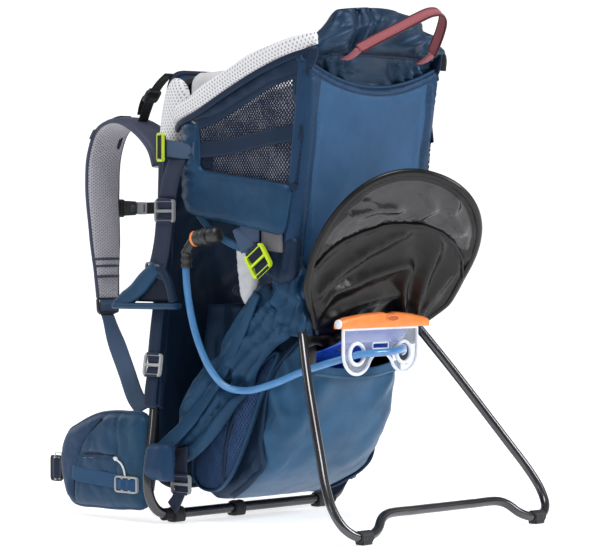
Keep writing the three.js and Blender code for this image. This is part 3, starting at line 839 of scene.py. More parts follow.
def base_feet():
    """Rubber clips snapped round the base bar."""
    for name, x in (("left", -146), ("middle", -28), ("right", 143)):
        outline = corners([(-8.5, 0.2), (8.5, 0.2), (10.5, 7), (9.8, 15), (5, 21.3), (-5, 21.3),
                           (-9.8, 15), (-10.5, 7)], 4, 1.6)
        clip = plate("clip", outline, [circle(FRAME_R + 0.4, 24) + (0, 11.5)], side_plane_at(x), 18, RUBBER,
                     1.6)
        ribs = [sweep("rib", np.array([(x + s * 5.5 - 1.2, 0, 11.5), (x + s * 5.5 + 1.2, 0, 11.5)], float),
                      circle(10.4, 24), RUBBER) for s in (-1, 1)]
        wear(joined("base_clip_" + name, [clip] + ribs), "pack", "rubber", "base_foot_" + name)


def ladder_lock(name, centre, right, up, width, height, material, bars=1, web=SLATE, thickness=4.2,
                bar_material=None):
    """Webbing adjuster: rounded frame, slots, raised grip bars and the webbing wrapped round them."""
    lay = tilted(centre, right, up)
    w, h = width / 2, height / 2
    rail = max(2.6, 0.11 * min(width, height))
    gap = (height - rail * 2 - 3.0 * bars) / (bars + 1)
    slots, bars_at = [], []
    low = -h + rail
    for i in range(bars + 1):
        slots.append(corners([(-w + rail, low), (w - rail, low), (w - rail, low + gap),
                              (-w + rail, low + gap)], 1.6, 1.2))
        low += gap
        if i < bars:
            bars_at.append(low + 1.5)
            low += 3.0
    parts = [plate("frame", corners([(-w, -h), (w, -h), (w, h), (-w, h)], 6.0, 1.8), slots, lay, thickness,
                   material, 0.9)]
    one = np.ones(9)
    for v in bars_at:
        line = lay(np.linspace(-w + rail * 0.6, w - rail * 0.6, 9), one * v, one * 1.4)
        parts.append(sweep("bar", line, circle(2.3, 14), bar_material or material))
    if web:
        v = np.linspace(-h - 1.0, h + 1.0, 26)
        wave = 1.2 + 2.6 * np.max([bump_at(v, b, 4.2) for b in bars_at], axis=0)
        line = lay(np.zeros(26), v, wave - 3.4 * ramp(np.abs(v), h - rail - 1.5, h - rail * 0.4))
        parts.append(sweep("web", line, flat(width - 2 * rail - 2.4, 1.6), web,
                           across=np.array(right, float)))
    return joined(name, parts)


def strap(name, points, width, material, across, thickness=1.8, step=4.0):
    """Webbing along a smooth route; across is the way that its width lies."""
    return sweep(name, route(points, step), flat(width, thickness), material, across=across)


def stitches(name, line, pitch=3.4, length=2.2, radius=0.42, material=None, lift=(0, 0, 0)):
    """Row of sewn stitches along a line that lies on a surface."""
    line = even(np.array(line, float) + np.array(lift, float), pitch)
    points, faces = [], []
    for a, b in zip(line[:-1], line[1:]):
        along = (b - a) / np.linalg.norm(b - a)
        side = np.cross(along, (0.3, 0.5, 0.81))
        side /= np.linalg.norm(side)
        up = np.cross(along, side)
        start = len(points)
        for t, r in ((0, 0.35), (0.2, 1.0), (0.8, 1.0), (1.0, 0.35)):
            for k in range(6):
                angle = k * math.tau / 6
                spot = a + along * length * t
                points.append(spot + radius * r * (side * math.cos(angle) + up * math.sin(angle)))
        for ring in range(3):
            for k in range(6):
                m = start + ring * 6
                faces.append((m + k, m + (k + 1) % 6, m + 6 + (k + 1) % 6, m + 6 + k))
        faces.append(tuple(start + k for k in range(6)))
        faces.append(tuple(start + 18 + k for k in range(6)))
    return build(name, points, faces, material or THREAD)


# ---- floor and light ---------------------------------------------------------------------
def studio():
    """Pale floor that rises behind the object, and soft light panels."""
    floor_mesh = bpy.data.meshes.new("floor")
    cosine, sine = FLOOR_TURN
    steps = 24
    points = []
    for i in range(steps + 1):
        reach = -6.0 + 12.0 * i / steps
        for x in np.linspace(-7.0, 7.0, 9):
            rise = 3.2 * max(0.0, (reach - 2.5) / 3.5) ** 2
            points.append((x * cosine - reach * sine, x * sine + reach * cosine, rise - 0.0004))
    faces = [(i * 9 + j, i * 9 + j + 1, i * 9 + j + 10, i * 9 + j + 9)
             for i in range(steps) for j in range(8)]
    floor_mesh.from_pydata(points, [], faces)
    floor = bpy.data.objects.new("floor", floor_mesh)
    look = Look("floor", "#f4f4f4", 0.6, Emission_Strength=0.6)
    look.shader.inputs["Emission Color"].default_value = (1.0, 1.0, 1.0, 1.0)
    look.tint(look.noise(3.0), "#f0f0f0", 0.3, 0.7)
    floor_mesh.materials.append(look.material)
    bpy.context.scene.collection.objects.link(floor)
    world_light = bpy.data.worlds.new("studio")
    world_light.use_nodes = True
    world_light.node_tree.nodes["Background"].inputs[0].default_value = (0.95, 0.97, 1.0, 1.0)
    world_light.node_tree.nodes["Background"].inputs[1].default_value = 0.26
    bpy.context.scene.world = world_light
    panels = (
        ("key", (1.6, -2.9, 1.9), 1.2, 82.0),
        ("top", (-0.9, -0.6, 2.9), 1.1, 44.0),
        ("left", (-3.0, -0.2, 1.1), 0.7, 9.0),
        ("back", (-0.6, 3.0, 1.8), 1.6, 20.0),
    )
    for name, spot, size, power in panels:
        lamp = bpy.data.lights.new(name, "AREA")
        lamp.size = size
        lamp.energy = power
        holder = bpy.data.objects.new(name, lamp)
        holder.location = spot
        aim = Vector((0, 0, 0.35)) - Vector(spot)
        holder.rotation_euler = aim.to_track_quat("-Z", "Y").to_euler()
        bpy.context.scene.collection.objects.link(holder)
    bpy.context.scene.view_settings.view_transform = "Standard"


# ---- back system -------------------------------------------------------------------------
def back_y(z):
    """Middle surface of the back panel, which leans towards the wearer near its top."""
    rise = np.clip((z - 200) / 400, 0, 1.2)
    return 36 + 30 * rise * rise


def back_half(z):
    """Half width of the back panel at a height."""
    return mix(150, 104, np.clip((z - 150) / 450, 0, 1))


def back_panel():
    """Shell of the back: creased cloth towards the pack, the same dark cloth towards the wearer."""
    heights = (622, 560, 440, 300, 150, 60)
    right = [(back_half(z) - (18 if z == 622 else 0), z) for z in heights] + [(120, 44)]
    outline = corners(right + [(-x, z) for x, z in reversed(right)], 22, 7)

    def rear_face(u, v, h):
        return np.stack([u, back_y(v) - h, v], axis=1)

    def folds(u, v, d):
        slant = creases(u, v, 78, 118, 5)
        return (3.6 * slant + 1.6 * waves(u, v, 60, 8)) * ramp(d, 0, 26) - 2.0

    piece = puff("back_panel_shell", outline, rear_face, 8.0, [NIGHT_BLUE], rounding=10, relief=folds,
                 edge=3)
    wear(piece, "pack", "navy_fabric", "back_panel")
    edge = np.stack([outline[:, 0], back_y(outline[:, 1]), outline[:, 1]], axis=1)
    wear(sweep("back_panel_binding", even(np.vstack([edge, edge[:1]]), 6)[:-1], circle(4.2, 12), INK,
               closed=True),
         "pack", "navy_fabric")


def inflate(piece, voxel=5.0, pressure=4.0, cap=7.0):
    """Swells a pad with a short cloth simulation and keeps every point within cap of its place."""
    scene = bpy.context.scene
    bpy.context.view_layer.objects.active = piece
    remesh = piece.modifiers.new("even", "REMESH")
    remesh.mode = "VOXEL"
    remesh.voxel_size = voxel * MM
    for other in bpy.context.selected_objects:
        other.select_set(False)
    piece.select_set(True)
    bpy.ops.object.modifier_apply(modifier="even")
    rest = np.array([v.co for v in piece.data.vertices])
    cloth = piece.modifiers.new("cloth", "CLOTH")
    cloth.settings.use_pressure = True
    cloth.settings.uniform_pressure_force = pressure
    cloth.settings.effector_weights.gravity = 0.0
    cloth.settings.quality = 4
    cloth.point_cache.frame_start = 1
    cloth.point_cache.frame_end = 20
    for number in range(1, 21):
        scene.frame_set(number)
    shaped = piece.evaluated_get(bpy.context.evaluated_depsgraph_get())
    swollen = np.array([v.co for v in shaped.data.vertices])
    piece.modifiers.clear()
    move = swollen - rest
    size = np.maximum(np.linalg.norm(move, axis=1), 1e-9)
    kept = rest + move * np.minimum(1.0, cap * MM / size)[:, None]
    piece.data.vertices.foreach_set("co", kept.astype(np.float32).ravel())
    piece.data.update()
    fine = piece.modifiers.new("fine", "SUBSURF")
    fine.levels = fine.render_levels = 1
    bpy.ops.object.modifier_apply(modifier="fine")
    piece.data.polygons.foreach_set("use_smooth", [True] * len(piece.data.polygons))
    scene.frame_set(1)
    return piece


def box_uv(piece, axes):
    """Flat UVs from two object axes, for a piece whose remesh erased them."""
    a, b = ("XYZ".index(axis) for axis in axes)
    layer = piece.data.uv_layers.get("UVMap") or piece.data.uv_layers.new(name="UVMap")
    corner = np.zeros(len(piece.data.loops), np.int32)
    piece.data.loops.foreach_get("vertex_index", corner)
    co = np.array([v.co for v in piece.data.vertices])
    layer.data.foreach_set("uv", co[corner][:, [a, b]].astype(np.float32).ravel())
    return piece


def back_pads():
    """Spacer-mesh pads on the wearer's face, each with piping and sewn channels."""
    def lay(u, v, h):
        return np.stack([u, back_y(v) + 8.2 + h, v], axis=1)

    lumbar_channels = [[(s * 46, 78), (s * 40, 134), (s * 46, 190)] for s in (-1, 1)]
    pads = [("lumbar_pad", 0, 134, 272, 124, 22, lumbar_channels),
            ("upper_back_pad", 0, 579, 156, 76, 16, [[(-50, 551), (0, 562), (50, 551)]])]
    for name, sign in SIDES:
        x = sign * 62
        pads.append(("back_pad_" + name, x, 343, 72, 270, 16,
                     [[(x - 33, 300), (x + 33, 300)], [(x - 33, 388), (x + 33, 388)]]))
    for name, x, z, width, height, thick, channels in pads:
        w, h = width / 2, height / 2
        outline = corners([(x - w, z - h), (x + w, z - h), (x + w, z + h), (x - w, z + h)], 26, 6)
        body = puff(name + "_cushion", outline, lay, thick - 5, [GREY_MESH], rounding=26, back=0.0, edge=2)
        inflate(body, 5.0, 4.0, 6.0)
        box_uv(body, "XZ")
        sew(body, channels, 4.6, 5.5)
        wear(body, "pack", "grey_mesh", name)
        ring = np.stack([outline[:, 0], back_y(outline[:, 1]) + 10.5, outline[:, 1]], axis=1)
        wear(sweep(name + "_piping", ring, circle(2.4, 10), INK, closed=True), "pack", "navy_fabric")


def sew(piece, channels, depth, width):
    """Draws sewn channels into a pad that faces the wearer."""
    co = np.array([v.co for v in piece.data.vertices])
    flat_view = np.stack([co[:, 0] / MM, co[:, 2] / MM], axis=1)
    near = np.min([distance(flat_view, np.array(even(np.array(c, float), 8))) for c in channels], axis=0)
    height = co[:, 1] / MM - BASE_Y - back_y(flat_view[:, 1]) - 8.2
    drop = np.minimum(np.maximum(height - 1.5, 0), depth) * np.exp(-((near / width) ** 2))
    co[:, 1] -= drop * MM
    piece.data.vertices.foreach_set("co", co.astype(np.float32).ravel())
    piece.data.update()


# ---- shoulder harness --------------------------------------------------------------------
STRAP_ROUTE = [
    (71, 490), (80, 514), (110, 541), (150, 555), (184, 544), (203, 508), (207, 455), (203, 400),
    (199, 345), (196, 304),
]


def shoulder_strap(name, sign):
    """Padded strap with its daisy chain, load lifter, end buckle and adjusting webbing."""
    x = sign * STRAP_X
    line = route([(x, y, z) for y, z in STRAP_ROUTE], 5.0)

    def width_at(share):
        return float(np.interp(share, [0, 0.15, 0.6, 0.8, 0.9, 1], [56, 62, 60, 52, 43, 38]))

    def section(share):
        full = mix(13.5, 5.0, float(ramp(share, 0.9, 0.97)))
        return crowned(width_at(share), full, 2.2)

    pad = sweep("shoulder_strap_pad_" + name, line, section, [STRAP_MESH, STRAP_FACE], across=(1, 0, 0),
                face_slot=lambda m, k, s: 0 if m < k // 2 else 1)
    wear(pad, "pack", "grey_mesh", "shoulder_strap_" + name)
    trims = []
    count = len(line)
    for side in (-1, 1):
        edge = np.array([p + (side * (width_at(i / (count - 1)) / 2 + 0.3), 0, 0)
                         for i, p in enumerate(line)])
        trims.append(sweep("edge", edge, circle(2.6, 10), STRAP_FACE))
    wear(joined("shoulder_strap_binding_" + name, trims), "pack", "navy_fabric")
    tangent = np.gradient(line, axis=0)
    tangent /= np.linalg.norm(tangent, axis=1)[:, None]
    outward = -np.cross(tangent, (1, 0, 0))
    looped = slice(int(count * 0.3), int(count * 0.97))
    span = (line + outward * 7.2)[looped]
    rise = 0.8 + 1.4 * np.abs(np.sin(np.linspace(0, 6 * math.pi, len(span))))
    bands = [sweep("daisy", span + outward[looped] * rise[:, None], flat(20, 1.6), BLACK_WEB,
                   across=(1, 0, 0))]
    for share in (0.86, 0.895, 0.93):
        i = int(share * (count - 1))
        half = width_at(share) / 2 + 2.4
        turn = np.linspace(0, math.tau, 40, endpoint=False)
        oval = np.array([line[i] + np.array((half * math.cos(a), 0, 0)) + outward[i] * 6.9 * math.sin(a)
                         for a in turn])
        bands.append(sweep("band", oval, flat(4.0, 1.6, 3), STRAP_FACE, across=tuple(tangent[i]),
                           closed=True))
    i = int(count * 0.42)
    slit = tilted(line[i] - outward[i] * 5.2 + (sign * -18, 0, 0), (1, 0, 0), tangent[i])
    bands.append(plate("slit", loop([(-2.6, -9), (2.6, -9), (3.4, 0), (2.6, 9), (-2.6, 9), (-3.4, 0)], 2),
                       [],
                       slit, 2.6, INK, 0.6))
    i = int(count * 0.4)
    tab = tilted(line[i] + (sign * 31, 0, 0), (sign, 0, 0), tangent[i])
    bands.append(plate("tab", corners([(-3, -9), (5, -8), (5, 8), (-3, 9)], 2, 1.6), [], tab, 3.0,
                       STRAP_FACE, 0.8))
    wear(joined("shoulder_strap_trim_" + name, bands), "pack", "black_webbing")
    lifter = strap("lifter", [(x, 124, 552), (x, 110, 580), (x, 95, 600), (x, 81, 612), (x, 68, 620)], 19,
                   BLACK_WEB, (1, 0, 0), 2.2)
    lock = ladder_lock("lock", (x, 104, 590), (1, 0, 0), (0, -0.6, 0.8), 27, 21, BLACK, 1, BLACK_WEB)
    tail = strap("tail", [(x, 103, 592), (x, 113, 590), (x, 121, 578), (x, 125, 564)], 18, BLACK_WEB,
                 (1, 0, 0))
    wear(joined("load_lifter_strap_" + name, [lifter, lock, tail]), "pack", "black_webbing",
         "load_lifter_" + name)
    buckle = ladder_lock("lock", (x, 196.5, 293), (1, 0, 0), (0, 0.08, 1), 40, 24, BLACK, 1, SLATE)
    wear(buckle, "pack", "black_plastic", "strap_buckle_" + name)
    buckle.name = "strap_ladder_lock_" + name
    points = [(x, 199, 300), (x, 202, 288), (x + sign, 194, 276), (x + sign * 8, 172, 245),
              (x + sign * 28, 127, 201), (x + sign * 46, 90, 168), (x + sign * 58, 60, 152)]

    def turning(share):
        turned = float(ramp(share, 0.12, 0.5))
        a = math.radians(mix(0.0, 62.0, turned))
        return (math.cos(a), sign * math.sin(a), 0.25 * turned)

    belt = sweep("strap_webbing_belt_" + name, route(points, 4.0), flat(25, 1.9), SLATE, across=turning)
    wear(belt, "pack", "webbing", "strap_webbing_" + name)


def sternum_strap():
    """Chest strap with its side-release buckle, both halves on the sliding body."""
    at_socket = tilted((-42, 206, 432), (1, 0, 0), (0, 0, 1))
    at_plug = tilted((-18, 206, 432), (1, 0, 0), (0, 0, 1))
    socket = plate("socket", corners([(-13, -11), (13, -10), (13, 10), (-13, 11)], 4, 1.6),
                   [corners([(2, -5), (10, -4), (10, 4), (2, 5)], 2, 1.2)], at_socket, 9, BLACK, 1.6)
    wear(socket, "sternum_strap", "black_plastic", "sternum_buckle_socket")
    socket.name = "sternum_socket"
    prongs = [plate("prong", corners([(-15, v - 2), (4, v - 2), (4, v + 2), (-15, v + 2)], 1.8, 1.4), [],
                    at_plug, 4, PALE_GREY, 0.8) for v in (-6, 6)]
    core = plate("core", corners([(-9, -9), (10, -9), (10, 9), (-9, 9)], 3, 1.6),
                 [corners([(3, -6), (7, -6), (7, 6), (3, 6)], 1.4, 1.2)], at_plug, 7, PALE_GREY, 1.2)
    plug = joined("sternum_plug", prongs + [core])
    wear(plug, "sternum_strap", "black_plastic", "sternum_buckle_plug")
    belt = strap("belt", [(-12, 206, 432), (20, 207, 432.5), (58, 205, 432)], 17, BLACK_WEB, (0, 0, 1), 2.0)
    keeper = ladder_lock("keeper", (30, 206.6, 432.3), (0, 0, 1), (1, 0, 0), 24, 17, BLACK, 1, BLACK_WEB)
    rail = [ladder_lock("rail", (x, 205, 432), (0, 0, 1), (1, 0, 0), 26, 14, BLACK, 1, None)
            for x in (-58, 62)]
    wear(joined("sternum_belt", [belt, keeper] + rail), "sternum_strap", "black_webbing", "sternum_webbing")


# ---- hip belt ----------------------------------------------------------------------------
FIN_OUTLINE = [
    (20, 26), (60, 18), (120, 16), (182, 19), (198, 42), (206, 70), (202, 96), (190, 116), (168, 127),
    (120, 144), (60, 149), (20, 144),
]
FIN_SEAM = [(98, 143), (122, 126), (145, 103), (160, 72), (167, 40), (166, 19)]
FIN_ZIP = [(143, 88), (108, 90), (76, 89)]


def fin_lay(sign):
    """Surface of a hip wing, curving in towards its front."""
    def lay(u, v, h):
        along = np.clip((u - 18) / 190, 0, 1.2)
        return np.stack([sign * (FIN_X + h - 14 * along * along), u, v], axis=1)
    return lay


def on_fin(sign, points, lift):
    """Line on a hip wing, lifted off its surface."""
    line = route(points, 4.0)
    return fin_lay(sign)(line[:, 0], line[:, 1], np.full(len(line), lift))


def hip_wing(name, sign):
    """Padded wing of the hip belt with its zip, webbing, adjuster and front buckle."""
    body = "hip_wing_" + name
    outline = loop(FIN_OUTLINE, 6)
    front_seam = route(FIN_SEAM, 5)
    base_seam = route([(69, 147), (69, 100), (70, 62)], 5)
    zip_line = route(FIN_ZIP, 5)

    def relief(u, v, d):
        soft = 1.5 * waves(u, v, 46, 3) + 2.2 * creases(u, v, 30, 84, 12) * bump_at(v, 132, 26)
        dent = -2.4 * np.exp(-((v - 56) / 9.0) ** 2) * ramp(u, 66, 80) * (1 - ramp(u, 150, 168))
        return (soft + dent) * ramp(d, 2, 16)

    def patch(u, v):
        seam_u = np.interp(v, [16, 40, 72, 103, 126, 145], [166, 167, 160, 145, 122, 97])
        return np.where(u > seam_u, 1, np.where(u < 69, 2, 0))

    fin = puff("hip_fin_pad_" + name, outline, fin_lay(sign), 14, [DEEP_BLUE, HEM_BLUE, DARK_TEAL],
               seams=[front_seam, base_seam, zip_line], relief=relief, rounding=20, edge=3.0, region=patch,
               step=5.0)
    wear(fin, body, "navy_fabric", "hip_fin_" + name)
    inner = puff("hip_fin_lining_" + name, loop(FIN_OUTLINE, 6) * (0.94, 0.9) + (6, 8),
                 lambda u, v, h: fin_lay(sign)(u, v, -h - 11.0), 4.5, [GREY_MESH], rounding=18,
                 edge=1.0, back=0.0)
    wear(inner, body, "grey_mesh")
    lift = 12.6
    seam_line = on_fin(sign, FIN_SEAM, lift - 1.4)
    edge = fin_lay(sign)(outline[:, 0], outline[:, 1], np.zeros(len(outline)))
    trims = [sweep("piping", seam_line[2:-2], circle(1.6, 8), INK),
             sweep("edge_piping", edge, circle(3.2, 10), DEEP_BLUE, closed=True),
             strap("zip_tape", on_fin(sign, FIN_ZIP, lift - 0.6), 7, NAVY, (0, 0, 1), 1.4)]
    zip_route = on_fin(sign, FIN_ZIP, lift + 0.4)
    trims.append(stitches("zip_teeth", zip_route, 2.4, 1.5, 0.7, NAVY))
    for offset in (-5.4, 5.4):
        trims.append(stitches("row", zip_route, lift=(0, 0, offset)))
    wear(joined("hip_fin_seams_" + name, trims), body, "navy_fabric")
    belt_line = on_fin(sign, [(172, 62), (150, 59), (108, 57), (66, 54), (34, 52)], lift + 0.8)[1:-1]
    belt = strap("belt", belt_line, 21, BLUE_WEB, (0, 0, 1), 2.0)
    lock_at = fin_lay(sign)(np.array([46.0]), np.array([51.5]), np.array([lift + 3.2]))[0]
    lock = ladder_lock("lock", lock_at, (0, 0, 1), (0, 1, 0.05), 23, 45, PALE_GREY, 2, BLUE_WEB)
    cord = sweep("cord", on_fin(sign, [(66, 84), (58, 80), (52, 72), (49, 62)], lift + 3.0),
                 circle(1.3, 10),
                 WHITE_CORD)
    knot = sweep("knot", on_fin(sign, [(73, 87), (69, 86), (65, 84)], lift + 3.0),
                 lambda s: circle(1.4 + 1.6 * math.sin(math.pi * s), 12), WHITE_CORD)
    wear(joined("hip_fin_webbing_" + name, [belt, lock, cord, knot]), body, "webbing")
    end = np.array((sign * (FIN_X - 14), 222.5, 62.0))
    front = ladder_lock("lock", end, (0, 0, 1), (sign * -0.12, 1, 0), 37, 26, BLACK, 1, DARK_SLATE,
                        bar_material=PALE_GREY)
    stub = strap("stub", [(sign * (FIN_X - 12), 196, 66), (sign * (FIN_X - 13.4), 210, 64), tuple(end)], 27,
                 DARK_SLATE, (0, 0, 1), 2.4)
    bow = route([(sign * (FIN_X - 11), 208, 84), (sign * (FIN_X - 8), 217, 85),
                 (sign * (FIN_X - 12), 224, 80)], 2)
    loop_cord = sweep("cord", bow, circle(1.1, 10), WHITE_CORD)
    wear(joined("hip_front_lock_" + name, [front, stub, loop_cord]), body, "grey_plastic",
         "hip_buckle_" + name)


def lower_corner(name, sign):
    """Padded sleeve round the frame's lower bend, its adjusters and the webbing that ties them."""
    def lay(u, v, h):
        return np.stack([sign * (194 + h - 0.16 * np.abs(v - 76) - 0.002 * (u + 16) ** 2), u, v], axis=1)

    outline = corners([(9, 62), (9, 110), (-34, 112), (-40, 84), (-38, 60)], 7, 4)
    cover = puff("corner_sleeve_" + name, outline, lay, 11, [DARK_BLUE], rounding=9, edge=4, step=4.5,
                 relief=lambda u, v, d: 1.8 * creases(u, v, 22, 100, 31) * ramp(d, 0, 8))
    wear(cover, "pack", "blue_fabric")
    lock = ladder_lock("lock", (sign * 167, -31, 55), (0, 1, 0), (0, 0.05, 1), 37, 27, GREY, 1, DARK_SLATE)
    ties = [strap("tie", [(sign * 166, -31, 66), (sign * 164, -28, 84), (sign * 158, -24, 104)], 24,
                  DARK_SLATE,
                  (0, 1, 0), 2.2),
            strap("tie", [(sign * 166, -29, 45), (sign * 164, -18, 30), (sign * 160, -6, 21)], 20,
                  DARK_SLATE,
                  (0, 1, 0.4), 2.2),
            sweep("wrap", np.array([(sign * 160 + x, 0, 11.8) for x in np.linspace(-11, 11, 9)]),
                  circle(8.6, 24), BLACK_WEB)]
    wear(joined("corner_adjuster_" + name, [lock] + ties), "pack", "grey_plastic")
    high = ladder_lock("lock", (sign * 178, 13, 217), (0, 1, 0), (sign * -0.14, 0, 1), 34, 32, PALE_GREY, 1,
                       DARK_SLATE)
    tie = [strap("tie", [(sign * 176, 13, 231), (sign * 171, 14, 262), (sign * 161, 18, 300)], 24, NAVY,
                 (0, 1, 0),
                 2),
           strap("tie", [(sign * 179, 12, 203), (sign * 184, 11, 180), (sign * 186, 10, 158)], 24, NAVY,
                 (0, 1, 0),
                 2)]
    wear(joined("back_adjuster_" + name, [high] + tie), "pack", "grey_plastic")


# ---- cockpit -----------------------------------------------------------------------------
LOWER_PANEL = [
    (4, 497), (6, 470), (1, 444), (-14, 428), (-45, 419), (-103, 411), (-160, 402), (-200, 394),
    (-212, 462), (-160, 470), (-100, 477), (-46, 483), (-41, 510), (-44, 545), (-10, 552), (2, 535),
]
WINDOW = [
    (-40, 478), (-100, 471), (-160, 464), (-216, 456), (-234, 606), (-178, 602), (-122, 578),
    (-74, 557), (-38, 546),
]
GUSSET = [
    (-30, 548), (-74, 556), (-122, 577), (-178, 600), (-236, 612), (-246, 626), (-249, 648),
    (-232, 644), (-172, 620), (-110, 594), (-55, 570), (-26, 562),
]
RIM_ROUTE = [
    (118, -240, 657), (134, -212, 648), (142, -160, 629), (142, -90, 599), (141, -40, 576),
    (136, -4, 564), (124, 16, 556),
]


def rear_turn(u):
    """How far a side panel turns in towards the rear panel's edge."""
    return 13 * ramp(-u, 176, 240) + 14 * ramp(-u, 232, 280)


def cockpit_side(name, sign):
    """Side panel with its net window, bindings, padded rim and inner wing."""
    def wall(u, v, h):
        round_in = 16 * ramp(u, -34, 12) ** 1.5 + rear_turn(u)
        return np.stack([sign * (SIDE_X + 3.0 + h - round_in), u, v], axis=1)

    def gathers(u, v, d):
        front = ramp(u, -52, -12)
        fan = creases(u, v, 15, 20, 41) * front
        low = creases(u, v, 60, 12, 42) * (1 - front)
        return (8.0 * fan + 4.0 * low + 1.8 * waves(u, v, 60, 44) * ramp(d, 4, 22)) * ramp(d, 0, 8)

    lower = puff("cockpit_lower_panel_" + name, corners(LOWER_PANEL, 12, 4.5), wall, 4.2, [DEEP_BLUE],
                 relief=gathers, rounding=9, edge=1.6, step=4.5,
                 seams=[route([(-44, 490), (-100, 484), (-160, 477), (-214, 470)], 5)],
                 pinch=(1.2, 2.0))
    wear(lower, "pack", "blue_fabric", "cockpit_side_" + name)

    def window_lay(u, v, h):
        sag = 3.0 * np.sin(np.clip((u + 234) / 196, 0, 1) * math.pi)
        return np.stack([sign * (SIDE_X + 1.5 + h - sag - rear_turn(u)), u, v], axis=1)

    outline = corners(WINDOW, 8, 5)
    pane = puff("side_window_net_" + name, outline, window_lay, 0.5, [SIDE_NET], rounding=2, edge=0.5,
                step=9,
                relief=lambda u, v, d: 1.2 * waves(u, v, 60, 51) * ramp(d, 0, 20))
    wear(pane, "pack", "navy_mesh")

    def on_window(points, lift):
        line = route(points, 5)
        return window_lay(line[:, 0], line[:, 1], np.full(len(line), lift))

    upper = on_window([(-236, 616), (-178, 601), (-122, 577), (-74, 556), (-38, 545)], 1.5)
    low = on_window([(-42, 482), (-100, 474), (-160, 467), (-216, 459)], 2.2)
    front = on_window([(-40, 480), (-42, 510), (-39, 546)], 2.0)
    band = on_window([(-38, 511), (-90, 514), (-150, 523), (-226, 534)], 2.2)
    trims = [sweep("upper", upper, crowned(15, 4.2, 1.0), NAVY, across=(0, 0.35, 1)),
             sweep("low", low, crowned(8, 3.4, 1.0), NAVY, across=(0, 0, 1)),
             sweep("front", front, crowned(8, 3.4, 1.0), DEEP_BLUE, across=(0, 1, 0)),
             sweep("band", band, flat(22, 1.6), NAVY, across=(0, 0.05, 1))]
    wear(joined("cockpit_binding_" + name, trims), "pack", "navy_fabric")
    rim_line = route([(sign * x, y, z) for x, y, z in RIM_ROUTE], 5.0)

    def rim_section(share):
        swell = 1 + 0.04 * math.sin(share * 21)
        high = float(np.interp(share, [0, 0.1, 0.35, 0.7, 0.9, 1.0], [8, 11, 15.5, 16.5, 13, 8]))
        return circle(1.0, 28) * (high * swell, 10.0 * swell)

    rim = sweep("cockpit_rim_pad_" + name, rim_line, rim_section, GREY_MESH, across=(sign * 0.55, 0.2, 0.9))
    wear(rim, "pack", "grey_mesh", "cockpit_rim_" + name)
    under = rim_line[2:] + (sign * 4.0, 0, -15.5)
    wear(sweep("cockpit_rim_binding_" + name, under, crowned(9, 6, 1.4), NAVY, across=(0, 0.35, 1)), "pack",
         "navy_fabric")
    gusset = puff("cockpit_gusset_" + name, corners(GUSSET, 8, 4.5),
                  lambda u, v, h: np.stack([sign * (SIDE_X + 1.5 + h - rear_turn(u)), u, v], axis=1),
                  3.4, [NAVY], rounding=8, edge=1.2,
                  relief=lambda u, v, d: 2.6 * creases(u, v, 26, 30, 47) * ramp(d, 0, 8))
    wear(gusset, "pack", "navy_fabric")

    def wing(u, v, h):
        return np.stack([sign * (126 - 0.10 * (v - 470) + h), u, v], axis=1)

    outline = corners([(-48, 470), (-196, 440), (-212, 600), (-150, 590), (-60, 546)], 20, 6)
    # The lower part of the inner wing takes the plain white padding: a pale cloth that also serves as
    # painted light for the light falling into the seat behind the net.
    inner = puff("side_wing_pad_" + name, outline, wing, 7, [GREY_MESH, WHITE_PAD], rounding=18, edge=1.5,
                 relief=lambda u, v, d: 9.0 * creases(u, v, 40, 52, 61) * ramp(d, 0, 16),
                 region=lambda u, v: np.where(v > 505 + 0.25 * (u + 120), 0, 1))
    wear(inner, "pack", "grey_mesh")
    front_pad(name, sign)
    cockpit_webbing(name, sign)


def front_pad(name, sign):
    """Padded spacer-mesh wrap at the front corner, round the frame tube."""
    def lay(u, v, h):
        bow = 0.012 * (u - 38) ** 2
        return np.stack([sign * (121 - 0.17 * (v - 520) + h - bow), u, v], axis=1)

    outline = loop([(13, 530), (18, 516), (40, 512), (60, 518), (65, 545), (64, 580),
                    (56, 604), (40, 613), (24, 604), (14, 575)], 5)
    pad = puff("front_corner_pad_" + name, outline, lay, 8, [GREY_MESH], rounding=13, edge=2.4, step=4.5)
    wear(pad, "pack", "grey_mesh")
    web = [strap("web", [(sign * 126, 40, 505), (sign * 129, 38, 470), (sign * 138, 30, 420)], 30,
                 DARK_SLATE,
                 (0, 1, 0), 2.4)]
    wear(joined("front_corner_webbing_" + name, web), "pack", "webbing")


